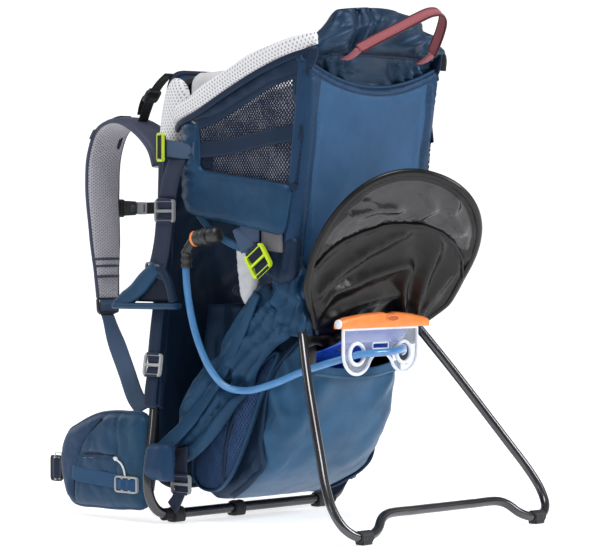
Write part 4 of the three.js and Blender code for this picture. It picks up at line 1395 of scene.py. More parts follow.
def cockpit_webbing(name, sign):
    """Lime ladder-locks at the side and the leg opening, their webbing and the leg padding."""
    lock = ladder_lock("lock", (sign * 149, 27, 516), (0, 0, 1), (sign * -0.42, 0.9, 0), 40, 25, LIME, 1,
                       BLACK_WEB)
    belt = strap("belt", [(sign * 149, 20, 516), (sign * 149.5, 2, 513), (sign * 149, -18, 511),
                          (sign * 147.5, -38, 511)], 23, SLATE, (0, 0, 1), 2.0)
    tack = stitches("tack", [(sign * 150.4, -34, 520), (sign * 150.4, -34, 502)], material=INK)
    wear(joined("side_adjuster_" + name, [lock, belt, tack]), "pack", "lime_plastic", "side_buckle_" + name)
    turned = math.radians(-35)
    up = (0, math.sin(-turned), math.cos(turned))
    leg = ladder_lock("lock", (sign * 149, -161, 361), (0, math.cos(turned), math.sin(turned)), up, 38, 37,
                      LIME, 1,
                      INK_WEB, 5.0, BLACK)
    tail = strap("tail", [(sign * 147, -140, 376), (sign * 144, -128, 392), (sign * 141, -118, 406)], 22,
                 SLATE,
                 (0, 0.8, 0.6), 2.0)
    wear(joined("leg_adjuster_" + name, [leg, tail]), "pack", "lime_plastic", "leg_buckle_" + name)
    arc = strap("arc", [(sign * 140, -38, 424), (sign * 139, -52, 410), (sign * 138, -75, 394),
                        (sign * 138, -104, 382),
                        (sign * 140, -136, 374)], 11, BLUE_SATIN, (0, 0.5, 0.86), 3.0)
    patch = strap("patch", [(sign * 141, -137, 410), (sign * 141.5, -137, 386)], 37, SLATE, (0, 1, 0), 2.6)
    panel = puff("taupe", corners([(-156, 410), (-193, 404), (-195, 372), (-156, 376)], 4, 4),
                 side_plane(sign, 137), 2.6, [TAUPE], rounding=8, step=6)
    wear(joined("leg_opening_trim_" + name, [arc, patch, panel]), "pack", "blue_fabric")
    outline = loop([(-95, 384), (-112, 388), (-129, 382), (-130, 330), (-121, 305),
                    (-112, 299), (-103, 306), (-96, 335)], 4)
    tongue = puff("leg_padding_" + name, outline, side_plane(sign, 118), 8, [WHITE_PAD], rounding=12,
                  edge=1.5, step=4,
                  relief=lambda u, v, d: 2.0 * creases(u, v, 20, 160, 71) * ramp(d, 0, 8))
    wear(tongue, "pack", "grey_mesh")


def chin_and_seat():
    """Padding round the child: chin roll, seat, back rest and the harness."""
    def chin_lay(u, v, h):
        return np.stack([u, 20 + 6 * np.cos(u / 102 * 1.4) - 6 - h, v], axis=1)

    outline = corners([(-102, 516), (102, 516), (98, 620), (40, 629), (-40, 629), (-98, 620)], 20, 6)
    chin = puff("chin_roll", outline, chin_lay, 11, [PALE], rounding=22, edge=2,
                relief=lambda u, v, d: 2.4 * creases(u, v, 52, 80, 81) * ramp(d, 0, 20))
    inflate(chin, 5.5, 3.0, 5.0)
    box_uv(chin, "XZ")
    wear(chin, "pack", "grey_mesh", "chin_pad")

    def seat_lay(u, v, h):
        return np.stack([u, v - 92, 318 + h], axis=1)

    seat = puff("seat_cushion", corners([(-78, -68), (78, -68), (74, 68), (-74, 68)], 26, 6), seat_lay, 10,
                [NAVY_MESH], seams=[even(np.array([(x, -60.0), (x, 60.0)]), 6) for x in (-40, 40)],
                rounding=20, edge=2)
    wear(seat, "pack", "navy_fabric", "seat_pad")

    def rest_lay(u, v, h):
        return np.stack([u, REAR_Y - REAR_SLOPE * (v - REAR_Z) + 31 + h, v], axis=1)

    rest = puff("back_rest_pad", corners([(-84, 342), (84, 342), (84, 558), (-84, 558)], 22, 6), rest_lay,
                6.2,
                [GREY_MESH], seams=[even(np.array([(-80.0, z), (80.0, z)]), 6) for z in (430, 500)],
                rounding=16, edge=1.6)
    wear(rest, "pack", "grey_mesh", "seat_back_pad")

    def on_rest(points, lift=7.6):
        line = route(points, 5)
        return rest_lay(line[:, 0], line[:, 1], np.full(len(line), lift))

    parts = []
    for _, sign in SIDES:
        parts.append(sweep("pad", on_rest([(sign * 38, 545), (sign * 38, 470), (sign * 34, 425)], 9.5),
                           crowned(32, 8, 1.8), STRAP_FACE, across=(1, 0, 0)))
        parts.append(sweep("web", on_rest([(sign * 34, 430), (sign * 22, 398), (sign * 9, 376)], 9.0),
                           flat(20, 1.8),
                           SLATE, across=(1, 0, sign * 0.5)))
        parts.append(ladder_lock("lock", on_rest([(sign * 38, 552), (sign * 38, 551)], 13.0)[0], (1, 0, 0),
                                 (0, 0, 1),
                                 26, 30, LIME, 1, BLACK_WEB))
    parts.append(plate("clasp", loop([(-17, 348), (17, 348), (20, 366), (13, 382), (-13, 382), (-20, 366)],
                                     3), [],
                       lambda u, v, h: rest_lay(u, v, h + 13), 9, BLACK, 2))
    parts.append(plate("button", loop([(-7, 358), (7, 358), (7, 372), (-7, 372)], 2), [],
                       lambda u, v, h: rest_lay(u, v, h + 18.5), 3, LIME, 0.8))
    wear(joined("child_harness_straps", parts), "pack", "webbing", "child_harness")


# ---- stirrups ----------------------------------------------------------------------------
def stirrup(name, sign):
    """Foot loop that hangs from the frame by its webbing."""
    body = "stirrup_l" if sign < 0 else "stirrup_r"
    x = sign * 172
    upper = [strap("web", [(sign * 146, -4, 500), (sign * 158, -5, 478), (sign * 168, -5, 446)], 35,
                   DARK_SLATE,
                   (0, 1, 0), 3.0),
             ladder_lock("lock", (x, -5, 428), (0, 1, 0), (0, 0, 1), 38, 32, GREY, 1, DARK_SLATE)]
    wear(joined("stirrup_hanger_" + name, upper), "pack", "grey_plastic")
    lower = [strap("web", [(x, -4, 418), (x, -1, 392), (x, 5, 366), (x, 15, 338)], 33, DARK_SLATE,
                   (0, 1, 0), 2.6),
             ladder_lock("slider", (x, 16, 350), (0, 1, 0.2), (0, -0.2, 1), 34, 12, GREY, 0, None, 4.0)]

    def foot_section(share):
        wide = float(np.interp(share, [0, 0.35, 0.8, 1.0], [20, 26, 22, 10]))
        return crowned(wide, 11, 2.0)[:, ::-1]

    slope = route([(x, 10, 352), (x, 30, 336), (x, 58, 314), (x, 92, 299)], 4)
    base = route([(x, 94, 296.5), (x, 40, 297), (x, -30, 298)], 5)
    lower.append(sweep("slope", slope, foot_section, DEEP_BLUE, across=(1, 0, 0)))
    lower.append(sweep("base", base, crowned(9, 16, 2.0)[:, ::-1], DEEP_BLUE, across=(1, 0, 0)))
    lower.append(sweep("rear", route([(x, 4, 352), (x, -12, 330), (x, -22, 302)], 4),
                       crowned(12, 9, 2.0)[:, ::-1],
                       NAVY, across=(1, 0, 0)))
    lower.append(puff("sole", corners([(2, 342), (24, 338), (82, 303), (-18, 303)], 5, 4),
                      side_plane(sign, 167), 1.6, [INK],
                      rounding=4, edge=0.8))
    wear(joined("stirrup_loop_" + name, lower), body, "navy_fabric", "stirrup_" + name)


# ---- rear --------------------------------------------------------------------------------
def rear_y(z):
    """Leaning plane of the rear panel."""
    return REAR_Y - REAR_SLOPE * (z - REAR_Z)


def hem_z(x):
    """Height of the rear pocket's dipping upper edge."""
    return 629 - 34 * (1 - (x / REAR_HALF_WIDTH) ** 2)


def rear_panel():
    """Rear panel with its slip pocket: a dipping hem, folds along the sides and a bellied middle."""
    w = REAR_HALF_WIDTH
    top = [(x, hem_z(x)) for x in np.linspace(w, -w, 45)]
    sides = [(-w, 629), (-w + 1, 520), (-w + 3, 356), (-w + 9, 345), (w - 9, 345), (w - 3, 356),
             (w - 1, 520)]
    outline = even(np.array(sides + top, float), 6)[:-1]

    def lay(u, v, h):
        wrap = 9 * ramp(np.abs(u), w - 22, w + 2) ** 2
        return np.stack([u, rear_y(v) + 4.5 - h + wrap, v], axis=1)

    def relief(u, v, d):
        edge = ramp(np.abs(u), w - 50, w - 34)
        folds = 5.0 * creases(u, v, 17, 92, 91) * edge
        belly = 5.5 * np.cos(np.clip(u / (w - 30), -1, 1) * math.pi / 2)
        low = 4.0 * creases(u, v, 40, 70, 95) * (1 - ramp(v, 380, 520))
        return (folds + belly + low + 0.7 * waves(u, v, 130, 97)) * ramp(d, 0, 14)

    hem = [(x, hem_z(x) - 12.5) for x in np.linspace(-w + 4, w - 4, 41)]
    strip = w - 30.0
    seams = [np.array(hem)]
    for side in (-strip, strip):
        seams.append(even(np.array([(side, 350.0), (side, hem_z(strip) - 13.5)]), 6))
    # Painted shade: the side strips outside the seams take the darker blue, which stands for the shade on a
    # strip turned away from the light; their cloth is the same as the middle's.
    panel = puff("rear_pocket_panel", outline, lay, 4.6, [DARK_BLUE, BLUE, HEM_BLUE], relief=relief,
                 rounding=8,
                 edge=2.2, seams=seams, pinch=(1.6, 2.4),
                 region=lambda u, v: np.where(v > hem_z(u) - 12.5, 2, np.where(np.abs(u) > strip, 0, 1)))
    wear(panel, "pack", "blue_fabric", "rear_panel")
    rows = []
    for drop in (3.0, 10.0):
        x = np.linspace(-w + 12, w - 12, 60)
        z = hem_z(x) - drop
        row = lay(x, z, relief(x, z, np.full(len(x), drop)) + 4.2)
        rows.append(stitches("row", row, 3.6, 2.4, 0.45, DARK_BLUE))
    across, high = np.array(top).T
    edge_line = lay(across, high + 0.5, np.full(len(top), 0.5))
    rows.append(sweep("edge", even(edge_line, 5), circle(2.6, 10), HEM_BLUE))
    wear(joined("rear_pocket_hem", rows), "pack", "blue_fabric")


CAP_SEAM_Z = 636.0
CAP_TUCKS = [(-66, 11, 9), (-38, 7, 6), (84, 9, 8)]     # place across, depth, width


def top_cap():
    """Gathered cap over the top of the pack, with pleats between its seam and the pocket's hem."""
    crown_levels = 702 - 12 * np.cos(np.linspace(0.15, 1.0, 14) * math.pi / 2)
    levels = np.concatenate([np.linspace(574, 690, 52), crown_levels, [CAP_SEAM_Z]])
    levels = np.unique(np.round(np.sort(levels), 2))
    around = 280
    angle = np.linspace(0, math.tau, around, endpoint=False)
    c, s = np.cos(angle), np.sin(angle)
    points, uv = [], []
    for z in levels:
        over = float(ramp(z, 628, 648))
        crown = float(np.clip((z - 668) / 34, 0, 1))
        rear = rear_y(z) + mix(10, -16, over) + 16 * crown**2
        front = -203 - 20 * crown**2
        half = mix(138, 96, float(ramp(z, 632, 694))) - 12 * crown**3
        power = mix(0.42, 0.72, float(ramp(z, 628, 668)))
        x = 8 * over + half * np.sign(c) * np.abs(c) ** power
        y = (rear + front) / 2 - (front - rear) / 2 * np.sign(s) * np.abs(s) ** power
        slant = x + 0.4 * (z - 636) + 5 * waves(x, z, 60, 101, 2)
        pleat = 14.0 * (1 - np.abs(np.sin(math.pi * slant / 23))) ** 1.5 * bump_at(z, 608, 24) * (s > 0)
        tuck = sum(deep * bump_at(x - at - 0.35 * (z - 640), 0, wide)
                   for at, deep, wide in CAP_TUCKS) * over
        wrinkle = 10.0 * creases(x + y * 0.8, z + y * 0.3, 34, 24, 104) * ramp(z, 638, 656) - tuck
        notch = -4.0 * bump_at(z, CAP_SEAM_Z, 2.4)
        out = pleat + wrinkle + notch + 1.5 * waves(x, z + y, 50, 107) - 4
        x = x + c * out
        y = y - s * out
        sag = -15 * crown * ((x + 14) / 100) ** 2
        points.append(np.stack([x, y, z + sag], axis=1))
        uv.append(np.stack([x, z + y], axis=1))
    top = len(levels) - 1
    faces = [face for i in range(top) for face in ring_faces(i, around)]
    points = np.vstack(points)
    uv = np.vstack(uv)
    ring = points[top * around:]
    for inner in (0.8, 0.55, 0.28):
        middle = ring.mean(0)
        spread = middle + (ring - middle) * inner
        spread[:, 2] += (1 - inner) * 4 + 2.2 * creases(spread[:, 0], spread[:, 1], 36, 20, 109) - 1
        points = np.vstack([points, spread])
        uv = np.vstack([uv, spread[:, :2]])
        faces += ring_faces(top, around)
        top += 1
    faces.append(tuple(top * around + k for k in range(around)))
    faces.append(tuple(range(around))[::-1])
    cap = build("top_cap_cover", points, faces, CAP_BLUE, uv)
    wear(cap, "pack", "blue_fabric", "top_cap")
    y_at = rear_y(CAP_SEAM_Z) - 15.5
    seam_line = np.array([(x, y_at + 8 * (abs(x) / 104) ** 6, CAP_SEAM_Z)
                          for x in np.linspace(-104, 104, 31)])
    seam = sweep("top_cap_seam", even(seam_line, 5), circle(1.7, 8), INK)
    tab_y = rear_y(630)
    tab = strap("tab", [(126, tab_y - 2, 652), (133, tab_y - 4, 640), (134, tab_y - 2, 622)], 9, BLACK_WEB,
                (1, -0.6, 0), 3.0)
    wear(joined("top_cap_trim", [seam, tab]), "pack", "black_webbing")


def carry_handle():
    """Webbing arch with bound edges, and its anchors on the pack."""
    lean = math.radians(HANDLE["lean"])
    shape = [(-1, 0), (-0.68, 0.27), (-0.33, 0.54), (0, 0.8), (0.25, 0.96), (0.48, 0.98), (0.68, 0.84),
             (0.84, 0.5),
             (0.97, 0)]

    def arch(scale):
        points = [(u * HANDLE["half"] * scale, HANDLE["y"] - math.sin(lean) * v * HANDLE["reach"] * scale,
                   HANDLE["z"] + math.cos(lean) * v * HANDLE["reach"] * scale) for u, v in shape]
        return route(points, 3.0)

    width_way = (0, math.cos(lean), math.sin(lean))
    line = arch(1.0)
    parts = [sweep("web", line, flat(15, 2.6, 8), MAROON, across=width_way)]
    for side in (-1, 1):
        parts.append(sweep("edge", line + np.array(width_way) * side * 7.5, circle(1.5, 10), MAROON_EDGE))
    for side in (-1, 1):
        row = arch(1.024)[4:-4] + np.array(width_way) * side * 4.6
        parts.append(stitches("row", row, 3.2, 2.0, 0.4, MAROON_EDGE))
    wear(joined("carry_handle_strap", parts), "handle", "maroon_webbing", "carry_handle")
    anchors = []
    for _, sign in SIDES:
        x = sign * HANDLE["half"]
        anchors.append(strap("anchor", [(x, -250, 630), (x, -262, 634), (x, -272, 640), (x, -275, 643)], 16,
                             MAROON,
                             (1, 0, 0), 3.0, 2.0))
    wear(joined("carry_handle_anchors", anchors), "pack", "maroon_webbing")


# ---- hinges and struts -------------------------------------------------------------------
def bent_cloth(name, line, section, material, across, relief):
    """Cloth tube along a line, open at its end and given a wall."""
    piece = sweep(name, line, section, [material], across=across)
    mesh = piece.data
    ends = [face.index for face in mesh.polygons if len(face.vertices) > 4]
    edit = bmesh.new()
    edit.from_mesh(mesh)
    edit.faces.ensure_lookup_table()
    bmesh.ops.delete(edit, geom=[edit.faces[ends[-1]]], context="FACES_ONLY")
    edit.to_mesh(mesh)
    edit.free()
    co = np.array([v.co for v in mesh.vertices]) / MM - (0, BASE_Y, 0)
    normal = np.array([v.normal for v in mesh.vertices])
    mesh.vertices.foreach_set("co", world(co + normal * relief(co)[:, None]).astype(np.float32).ravel())
    wall = piece.modifiers.new("wall", "SOLIDIFY")
    wall.thickness = 2.2 * MM
    wall.offset = -1.0
    return piece


SLEEVE = [
    (-146, 330), (-110, 296), (-70, 241), (-26, 190), (-9, 158), (-9, 116), (2, 92), (-24, 84),
    (-62, 108), (-120, 178), (-162, 240), (-198, 266),
]


def along_strut(u, v):
    """0 where the sleeve leaves the hinge boot, 1 at its foot."""
    return ((u + 170) * 0.69 + (292 - v) * 0.724) / 236


def strut(name, sign):
    """Wide cloth sleeve over a strut, the boot gathered round its hinge, and the cloth beside them."""
    outline = loop(SLEEVE, 4.5)
    hose_side = np.array(HOSE_ROUTE, float)[:, 1:]

    def lay(u, v, h):
        near = distance(np.stack([u, v], axis=1), hose_side) if sign < 0 else np.full(len(u), 99.0)
        groove = 13 * np.exp(-((near / 13) ** 2))
        middle = mix(124, 150, np.clip(along_strut(u, v), 0, 1))
        return np.stack([sign * (middle + h - groove), u, v], axis=1)

    def folds(u, v, d):
        along = along_strut(u, v)
        pleats = creases(u, v, 19, -46, 141) * (1 - 0.55 * ramp(along, 0.7, 1.0))
        knot = creases(u, v, 12, 40, 144) * bump_at(along, 0.02, 0.16)
        return (10.0 * pleats + 5.0 * knot + 2.0 * waves(u, v, 40, 146)) * ramp(d, 0, 10) - 2.5

    sleeve = puff("strut_sleeve_" + name, outline, lay, 9.5, [DEEP_BLUE], rounding=16, edge=2.0, step=4.0,
                  relief=folds, seams=[route([(-178, 276), (-128, 214), (-66, 140), (-18, 96)], 5)],
                  pinch=(5.0, 3.0))
    wear(sleeve, "pack", "navy_fabric", "side_strut_" + name)
    band_line = route([(sign * 140, -150, 318), (sign * 141, -120, 262), (sign * 143, -84, 204),
                       (sign * 155, -44, 148), (sign * 174, -14, 112), (sign * 187, -2, 96)], 5.0)
    band = sweep("strut_band_" + name, band_line, lambda s: crowned(mix(13, 21, s), 7.0, 1.2, 10),
                 DEEP_BLUE,
                 across=(0, 0.75, 0.66))
    wear(band, "pack", "navy_fabric")
    drop = np.array([(sign * 113, -189 + 0.06 * (340 - z), z) for z in np.linspace(368, 262, 30)])

    def boot_section(share):
        around = np.linspace(0, math.tau, 72, endpoint=False)
        long = float(np.interp(share, [0, 0.2, 0.45, 0.8, 1.0], [16, 25, 33, 38, 35]))
        wide = float(np.interp(share, [0, 0.2, 0.5, 1.0], [15, 20, 24, 22]))
        broad = (0.05 + 0.06 * share) * np.cos(around * 6 + 5 * share + sign)
        fold = 1 + broad + 0.035 * np.cos(around * 11 - 9 * share)
        return np.stack([np.cos(around) * long * fold, np.sin(around) * wide * fold], axis=1)

    def crumple(co):
        slant = creases(co[:, 1], co[:, 2] + co[:, 0] * sign * 0.4, 19, 118, 151)
        cross = creases(co[:, 1], co[:, 2], 26, 24, 153)
        return 9.0 * slant + 5.0 * cross - 5.0

    boot = bent_cloth("hinge_boot_" + name, drop, boot_section, DEEP_BLUE, (0, 1, 0), crumple)
    wear(boot, "pack", "navy_fabric", "hinge_housing_" + name)
    cheek = corners([(-14, -17), (14, -17), (14, 18), (-14, 18)], 6, 3) + (PIVOT[1], PIVOT[2] + 8)
    block = [plate("cheek", cheek, [], side_plane(sign, x), 4, BLACK, 1.2) for x in (101.0, 119.0)]
    wear(joined("hinge_bracket_" + name, block), "pack", "black_plastic")
    outline = corners([(-128, 410), (-216, 392), (-212, 338), (-184, 324), (-150, 346)], 12, 4.5)
    sling = puff("seat_sling_side_" + name, outline, side_plane(sign, 128), 5, [NAVY], rounding=8,
                 edge=1.4, relief=lambda u, v, d: 7.0 * creases(u, v, 20, 100, 155) * ramp(d, 0, 9))
    wear(sling, "pack", "navy_fabric")
    cover_line = route([(sign * 173, 12.5, 158), (sign * 160, 20, 250), (sign * 146, 25, 340),
                        (sign * 132, 30, 430),
                        (sign * 119.5, 37.5, 508)], 5.0)

    def cover_section(share):
        around = np.linspace(0, math.tau, 32, endpoint=False)
        fold = 1 + 0.10 * np.cos(around * 4 + share * 9) + 0.05 * np.cos(around * 7 - share * 23)
        return np.stack([np.cos(around), np.sin(around)], axis=1) * (10.4 * fold)[:, None]

    cover = sweep("frame_sleeve_" + name, cover_line, cover_section, NIGHT_BLUE, across=(0, 1, 0))
    wear(cover, "pack", "navy_fabric")


# ---- storage -----------------------------------------------------------------------------
BAG_PROFILE = [
    (31, -60, -14), (34, -70, -4), (40, -84, 2), (48, -100, 6), (60, -121, 9), (76, -140, 12),
    (98, -158, 14),
    (122, -173, 15), (150, -184, 15), (180, -191, 15), (210, -196, 15), (262, -202, 15), (298, -203, 15),
]
MOUTH = {"low": 214.0, "high": 260.0, "half": 84.0}


def seam_y(z):
    """Where the bag's side seam runs at a height."""
    return float(np.interp(z, [50, 118, 172, 213, 255, 298], [-132, -131, -139, -150, -184, -206]))


def bag_shape(z):
    """Rear face, front face and half width of the bag at a height."""
    heights, rear, front = (np.array(column) for column in zip(*BAG_PROFILE))
    half = 113 * np.interp(z, [31, 44, 64, 190, 290], [0.86, 0.97, 1.0, 1.0, 0.84])
    return np.interp(z, heights, rear), np.interp(z, heights, front), half


def bag_border(z):
    """Where the bag's rear cloth meets its side cloth at a height."""
    return max(seam_y(z), float(bag_shape(z)[0]) + 14)


def bag_power(z):
    """How square the bag's plan is at a height: low is squarer."""
    return mix(0.62, 0.34, float(ramp(z, 31, 70)))


def bag_side(z, y):
    """Half width of the bag's plan at a height, at a place between its rear and front."""
    rear, front, half = bag_shape(z)
    share = min(1.0, abs(2 * y - rear - front) / (front - rear))
    return half * (1 - share ** (2 / bag_power(z))) ** (bag_power(z) / 2)


def storage_bag():
    """Cloth bag with a mouth in its rear wall, lined in black."""
    levels = [31, 33, 37, 42, 48, 54, *range(60, 214, 5), 214, 220, 227, 234, 241, 248, 254, 260, 266, 273,
              280, 287, 293, 298]
    around = 168
    angle = (np.arange(around) + 0.5) / around * math.tau
    c, s = np.cos(angle), np.sin(angle)
    at_rear = ramp(c, 0.45, 0.8)
    at_side = ramp(np.abs(s), 0.6, 0.9)
    points, uv = [], []
    for z in levels:
        rear, front, half = bag_shape(z)
        power = bag_power(z)
        x = half * np.sign(s) * np.abs(s) ** power
        y = (rear + front) / 2 - (front - rear) / 2 * np.sign(c) * np.abs(c) ** power
        zz = np.full(around, float(z))
        hang = (10.0 * creases(x, zz, 66, 58, 161) * at_rear * ramp(z, 44, 100)
                * (1 - 0.5 * ramp(z, 190, 214)))
        pull = 9.0 * creases(y, zz, 34, 66, 164) * at_side * ramp(z, 40, 80)
        belly = 5.0 * np.cos(np.clip(x / 112, -1, 1) * math.pi / 2) * at_rear * bump_at(z, 130, 70)
        above = ramp((y + 170) * 0.724 + (zz - 292) * 0.69, 0, 30) * at_side
        out = hang + pull + belly + 1.6 * waves(x + y, zz, 90, 167) - 2.0 - 20.0 * above
        droop = np.cos(np.clip(x / MOUTH["half"], -1, 1) * math.pi / 2)
        sag = -9.0 * droop * at_rear * bump_at(z, MOUTH["low"], 14)
        points.append(np.stack([x + out * s, y - out * c, zz + sag], axis=1))
        uv.append(np.stack([x - y, zz], axis=1))
    faces, slots = [], []
    rows = len(levels)
    for i in range(rows - 1):
        mouth_level = MOUTH["low"] <= (levels[i] + levels[i + 1]) / 2 <= MOUTH["high"]
        for k, face in enumerate(ring_faces(i, around)):
            centre = (points[i][k] + points[i + 1][(k + 1) % around]) / 2
            if not (mouth_level and centre[1] < -150 and abs(centre[0]) < MOUTH["half"]):
                faces.append(face)
                slots.append(2 if centre[1] > bag_border(centre[2]) else 0)
    faces.append(tuple(range(around))[::-1])
    faces.append(tuple((rows - 1) * around + k for k in range(around)))
    bag = build("storage_bag_body", np.vstack(points), faces, [BLUE_SATIN, LINING, NIGHT_BLUE, LINING],
                np.vstack(uv), slots + [0, 2])
    wall = bag.modifiers.new("wall", "SOLIDIFY")
    wall.thickness = 3.0 * MM
    wall.offset = -1.0
    wall.material_offset = 1
    wall.material_offset_rim = 1
    wear(bag, "pack", "blue_fabric", "storage_bag")
    trims = []
    for _, sign in SIDES:
        corner = []
        for z in np.linspace(36, 296, 40):
            y = bag_border(z)
            corner.append((sign * (bag_side(z, y) + 1.5), y, z))
        trims.append(sweep("seam", even(np.array(corner), 5), crowned(9, 5, 1.4, 8), NIGHT_BLUE,
                           across=(0, 1, 0)))
    lip = np.array([(x, -202 - 1.5 * math.sin(x / 17) - 3.0 * math.cos(x / 62),
                     MOUTH["low"] - 8 * math.cos(min(1, abs(x) / MOUTH["half"]) * math.pi / 2))
                    for x in np.linspace(-90, 90, 60)])
    trims.append(sweep("lip", even(lip, 4), crowned(14, 5, 1.4), BLUE_SATIN, across=(0, 0.1, 1)))
    trims.append(stitches("row", lip + (0, -2.8, -3), 4, 2.4, 0.4, INK))
    wear(joined("storage_bag_seams", trims), "pack", "blue_fabric")


def lining_roll():
    """Black lining gathered along the lid's fold and round the mouth."""
    line = []
    for t in np.linspace(0, 1, 70):
        x = mix(-112, 112, t)
        line.append((x, -205 - 4 * math.sin(t * 9), 258 - 8 * math.sin(t * math.pi) + 3 * math.sin(t * 17)))

    def section(share):
        swell = 1 + 0.16 * math.sin(share * 40) + 0.1 * math.sin(share * 23)
        return crowned(22 * swell, 10 * swell, 1.6, 12)

    roll = sweep("mouth_lining_roll", even(np.array(line), 4), section, LINING, across=(0, 0.25, 1))
    sides = []
    for _, sign in SIDES:
        edge = [(sign * 92, -203, 262), (sign * 95, -206, 240), (sign * 93, -203, 216)]
        sides.append(sweep("side", route(edge, 4), crowned(20, 7, 1.4), LINING, across=(1, 0, 0)))
    wear(joined("mouth_lining", [roll] + sides), "pack", "black_lining")


def side_pocket(name, sign):
    """Net pocket between the strut's sleeve and the bag's side seam."""
    outline = loop([(-8, 64), (-22, 48), (-52, 45), (-80, 63), (-104, 94), (-122, 130), (-138, 174),
                    (-152, 212),
                    (-162, 238), (-140, 226), (-110, 186), (-62, 126), (-30, 100), (-10, 90)], 5)

    def lay(u, v, h):
        across = np.sin(np.clip((u + 160) / 152, 0, 1) * math.pi)
        upward = np.sin(np.clip((v - 36) / 190, 0, 1) * math.pi)
        bulge = 11 * across * upward
        narrow = 112 * (1 - 0.16 * np.clip((v - 190) / 100, 0, 1))
        return np.stack([sign * (narrow + 6.5 + bulge + h), u, v], axis=1)

    def relief(u, v, d):
        return (2.2 * waves(u, v, 60, 171) + 2.0 * creases(u, v, 40, 62, 172)) * ramp(d, 2, 20)

    pocket = puff("side_pocket_net_" + name, outline, lay, 0.9, [POCKET_NET], rounding=3, edge=0.7, step=7,
                  relief=relief)
    wear(pocket, "pack", "navy_mesh", "side_pocket_" + name)
    hem = lay(outline[:, 0], outline[:, 1], np.zeros(len(outline)))
    trims = [sweep("hem", hem, crowned(8, 4.4, 1.2, 8), DEEP_BLUE, across=(sign, 0, 0), closed=True)]
    seam = route([(-70, 60), (-78, 98), (-92, 142), (-104, 176)], 5)
    trims.append(sweep("seam", lay(seam[:, 0], seam[:, 1], np.full(len(seam), 1.0)),
                       crowned(6, 3.4, 1.0, 8), NAVY,
                       across=(sign * 0.1, 1, 0)))
    wear(joined("side_pocket_hem_" + name, trims), "pack", "navy_fabric")


def lid_half(reach):
    """Half width of the lid at a distance from its fold."""
    far = np.clip(np.asarray(reach, float) / LID["height"], 0, 1)
    full = LID["half"] * (1 - far**2.2) ** (1 / 2.2)
    opening = np.sin(np.clip(np.asarray(reach, float) / 90, 0, 1) * math.pi / 2)
    taper = mix(LID["base"], LID["half"], opening)
    return np.minimum(full, taper)


def lid_lay(u, v, h):
    """Lid surface; height grows on the lined side, which faces the rear and down."""
    lean = np.radians(LID["lean"] + LID["twist"] * u / LID["half"])
    bow = 9 * np.sin(np.clip(v / LID["height"], 0, 1) * math.pi) - 9 * (u / LID["half"]) ** 2
    off = h - bow
    moved = LID["shift"] * np.clip((v - 30) / 90, 0, 1)
    return np.stack([u + moved, LID["y"] - v * np.sin(lean) - off * np.cos(lean),
                     LID["z"] + v * np.cos(lean) - off * np.sin(lean)], axis=1)


LID_ARC = [
    (-126, 86), (-103, 116), (-79, 138), (-55, 154), (-33, 168), (-9, 178), (15, 185), (42, 184),
    (68, 174), (94, 154), (112, 130), (126, 100),
]
LID_FOLDS = [
    ([(-120, 46), (-67, 99), (-31, 132), (-4, 162)], 10, 12),
    ([(-112, 26), (-85, 63), (-49, 78), (-13, 99), (22, 118)], 13, 13),
    ([(30, 114), (35, 81), (44, 57), (54, 26)], 13, 10),
    ([(73, 30), (59, 105), (50, 147), (41, 184)], 14, 12),
    ([(86, 26), (89, 93), (92, 126), (100, 142)], 11, 11),
    ([(-80, 24), (-30, 46), (14, 62), (36, 70)], 9, 12),
]
GLOSS_FOLDS = [
    ([(-112, 160), (-84, 172), (-52, 190), (-26, 196)], 6, 7),
    ([(-97, 186), (-70, 196), (-49, 190)], 5, 6),
    ([(-6, 232), (10, 214), (4, 196)], 7, 9),
    ([(30, 240), (34, 222), (48, 206), (60, 196)], 8, 8),
    ([(84, 206), (96, 186), (104, 166)], 7, 9),
]


def ridges(u, v, folds):
    """Height of a set of sharp-crested folds, each a line with its height and width."""
    spots = np.stack([u, v], axis=1)
    lines = [(distance(spots, through(points)), tall, wide) for points, tall, wide in folds]
    return np.max([tall * np.exp(-((away / wide) ** 1.3)) for away, tall, wide in lines], axis=0)


def arc_reach(x):
    """Distance from the fold at which the glossy band meets the lining."""
    across, reach = zip(*LID_ARC)
    return np.interp(x, across, reach)


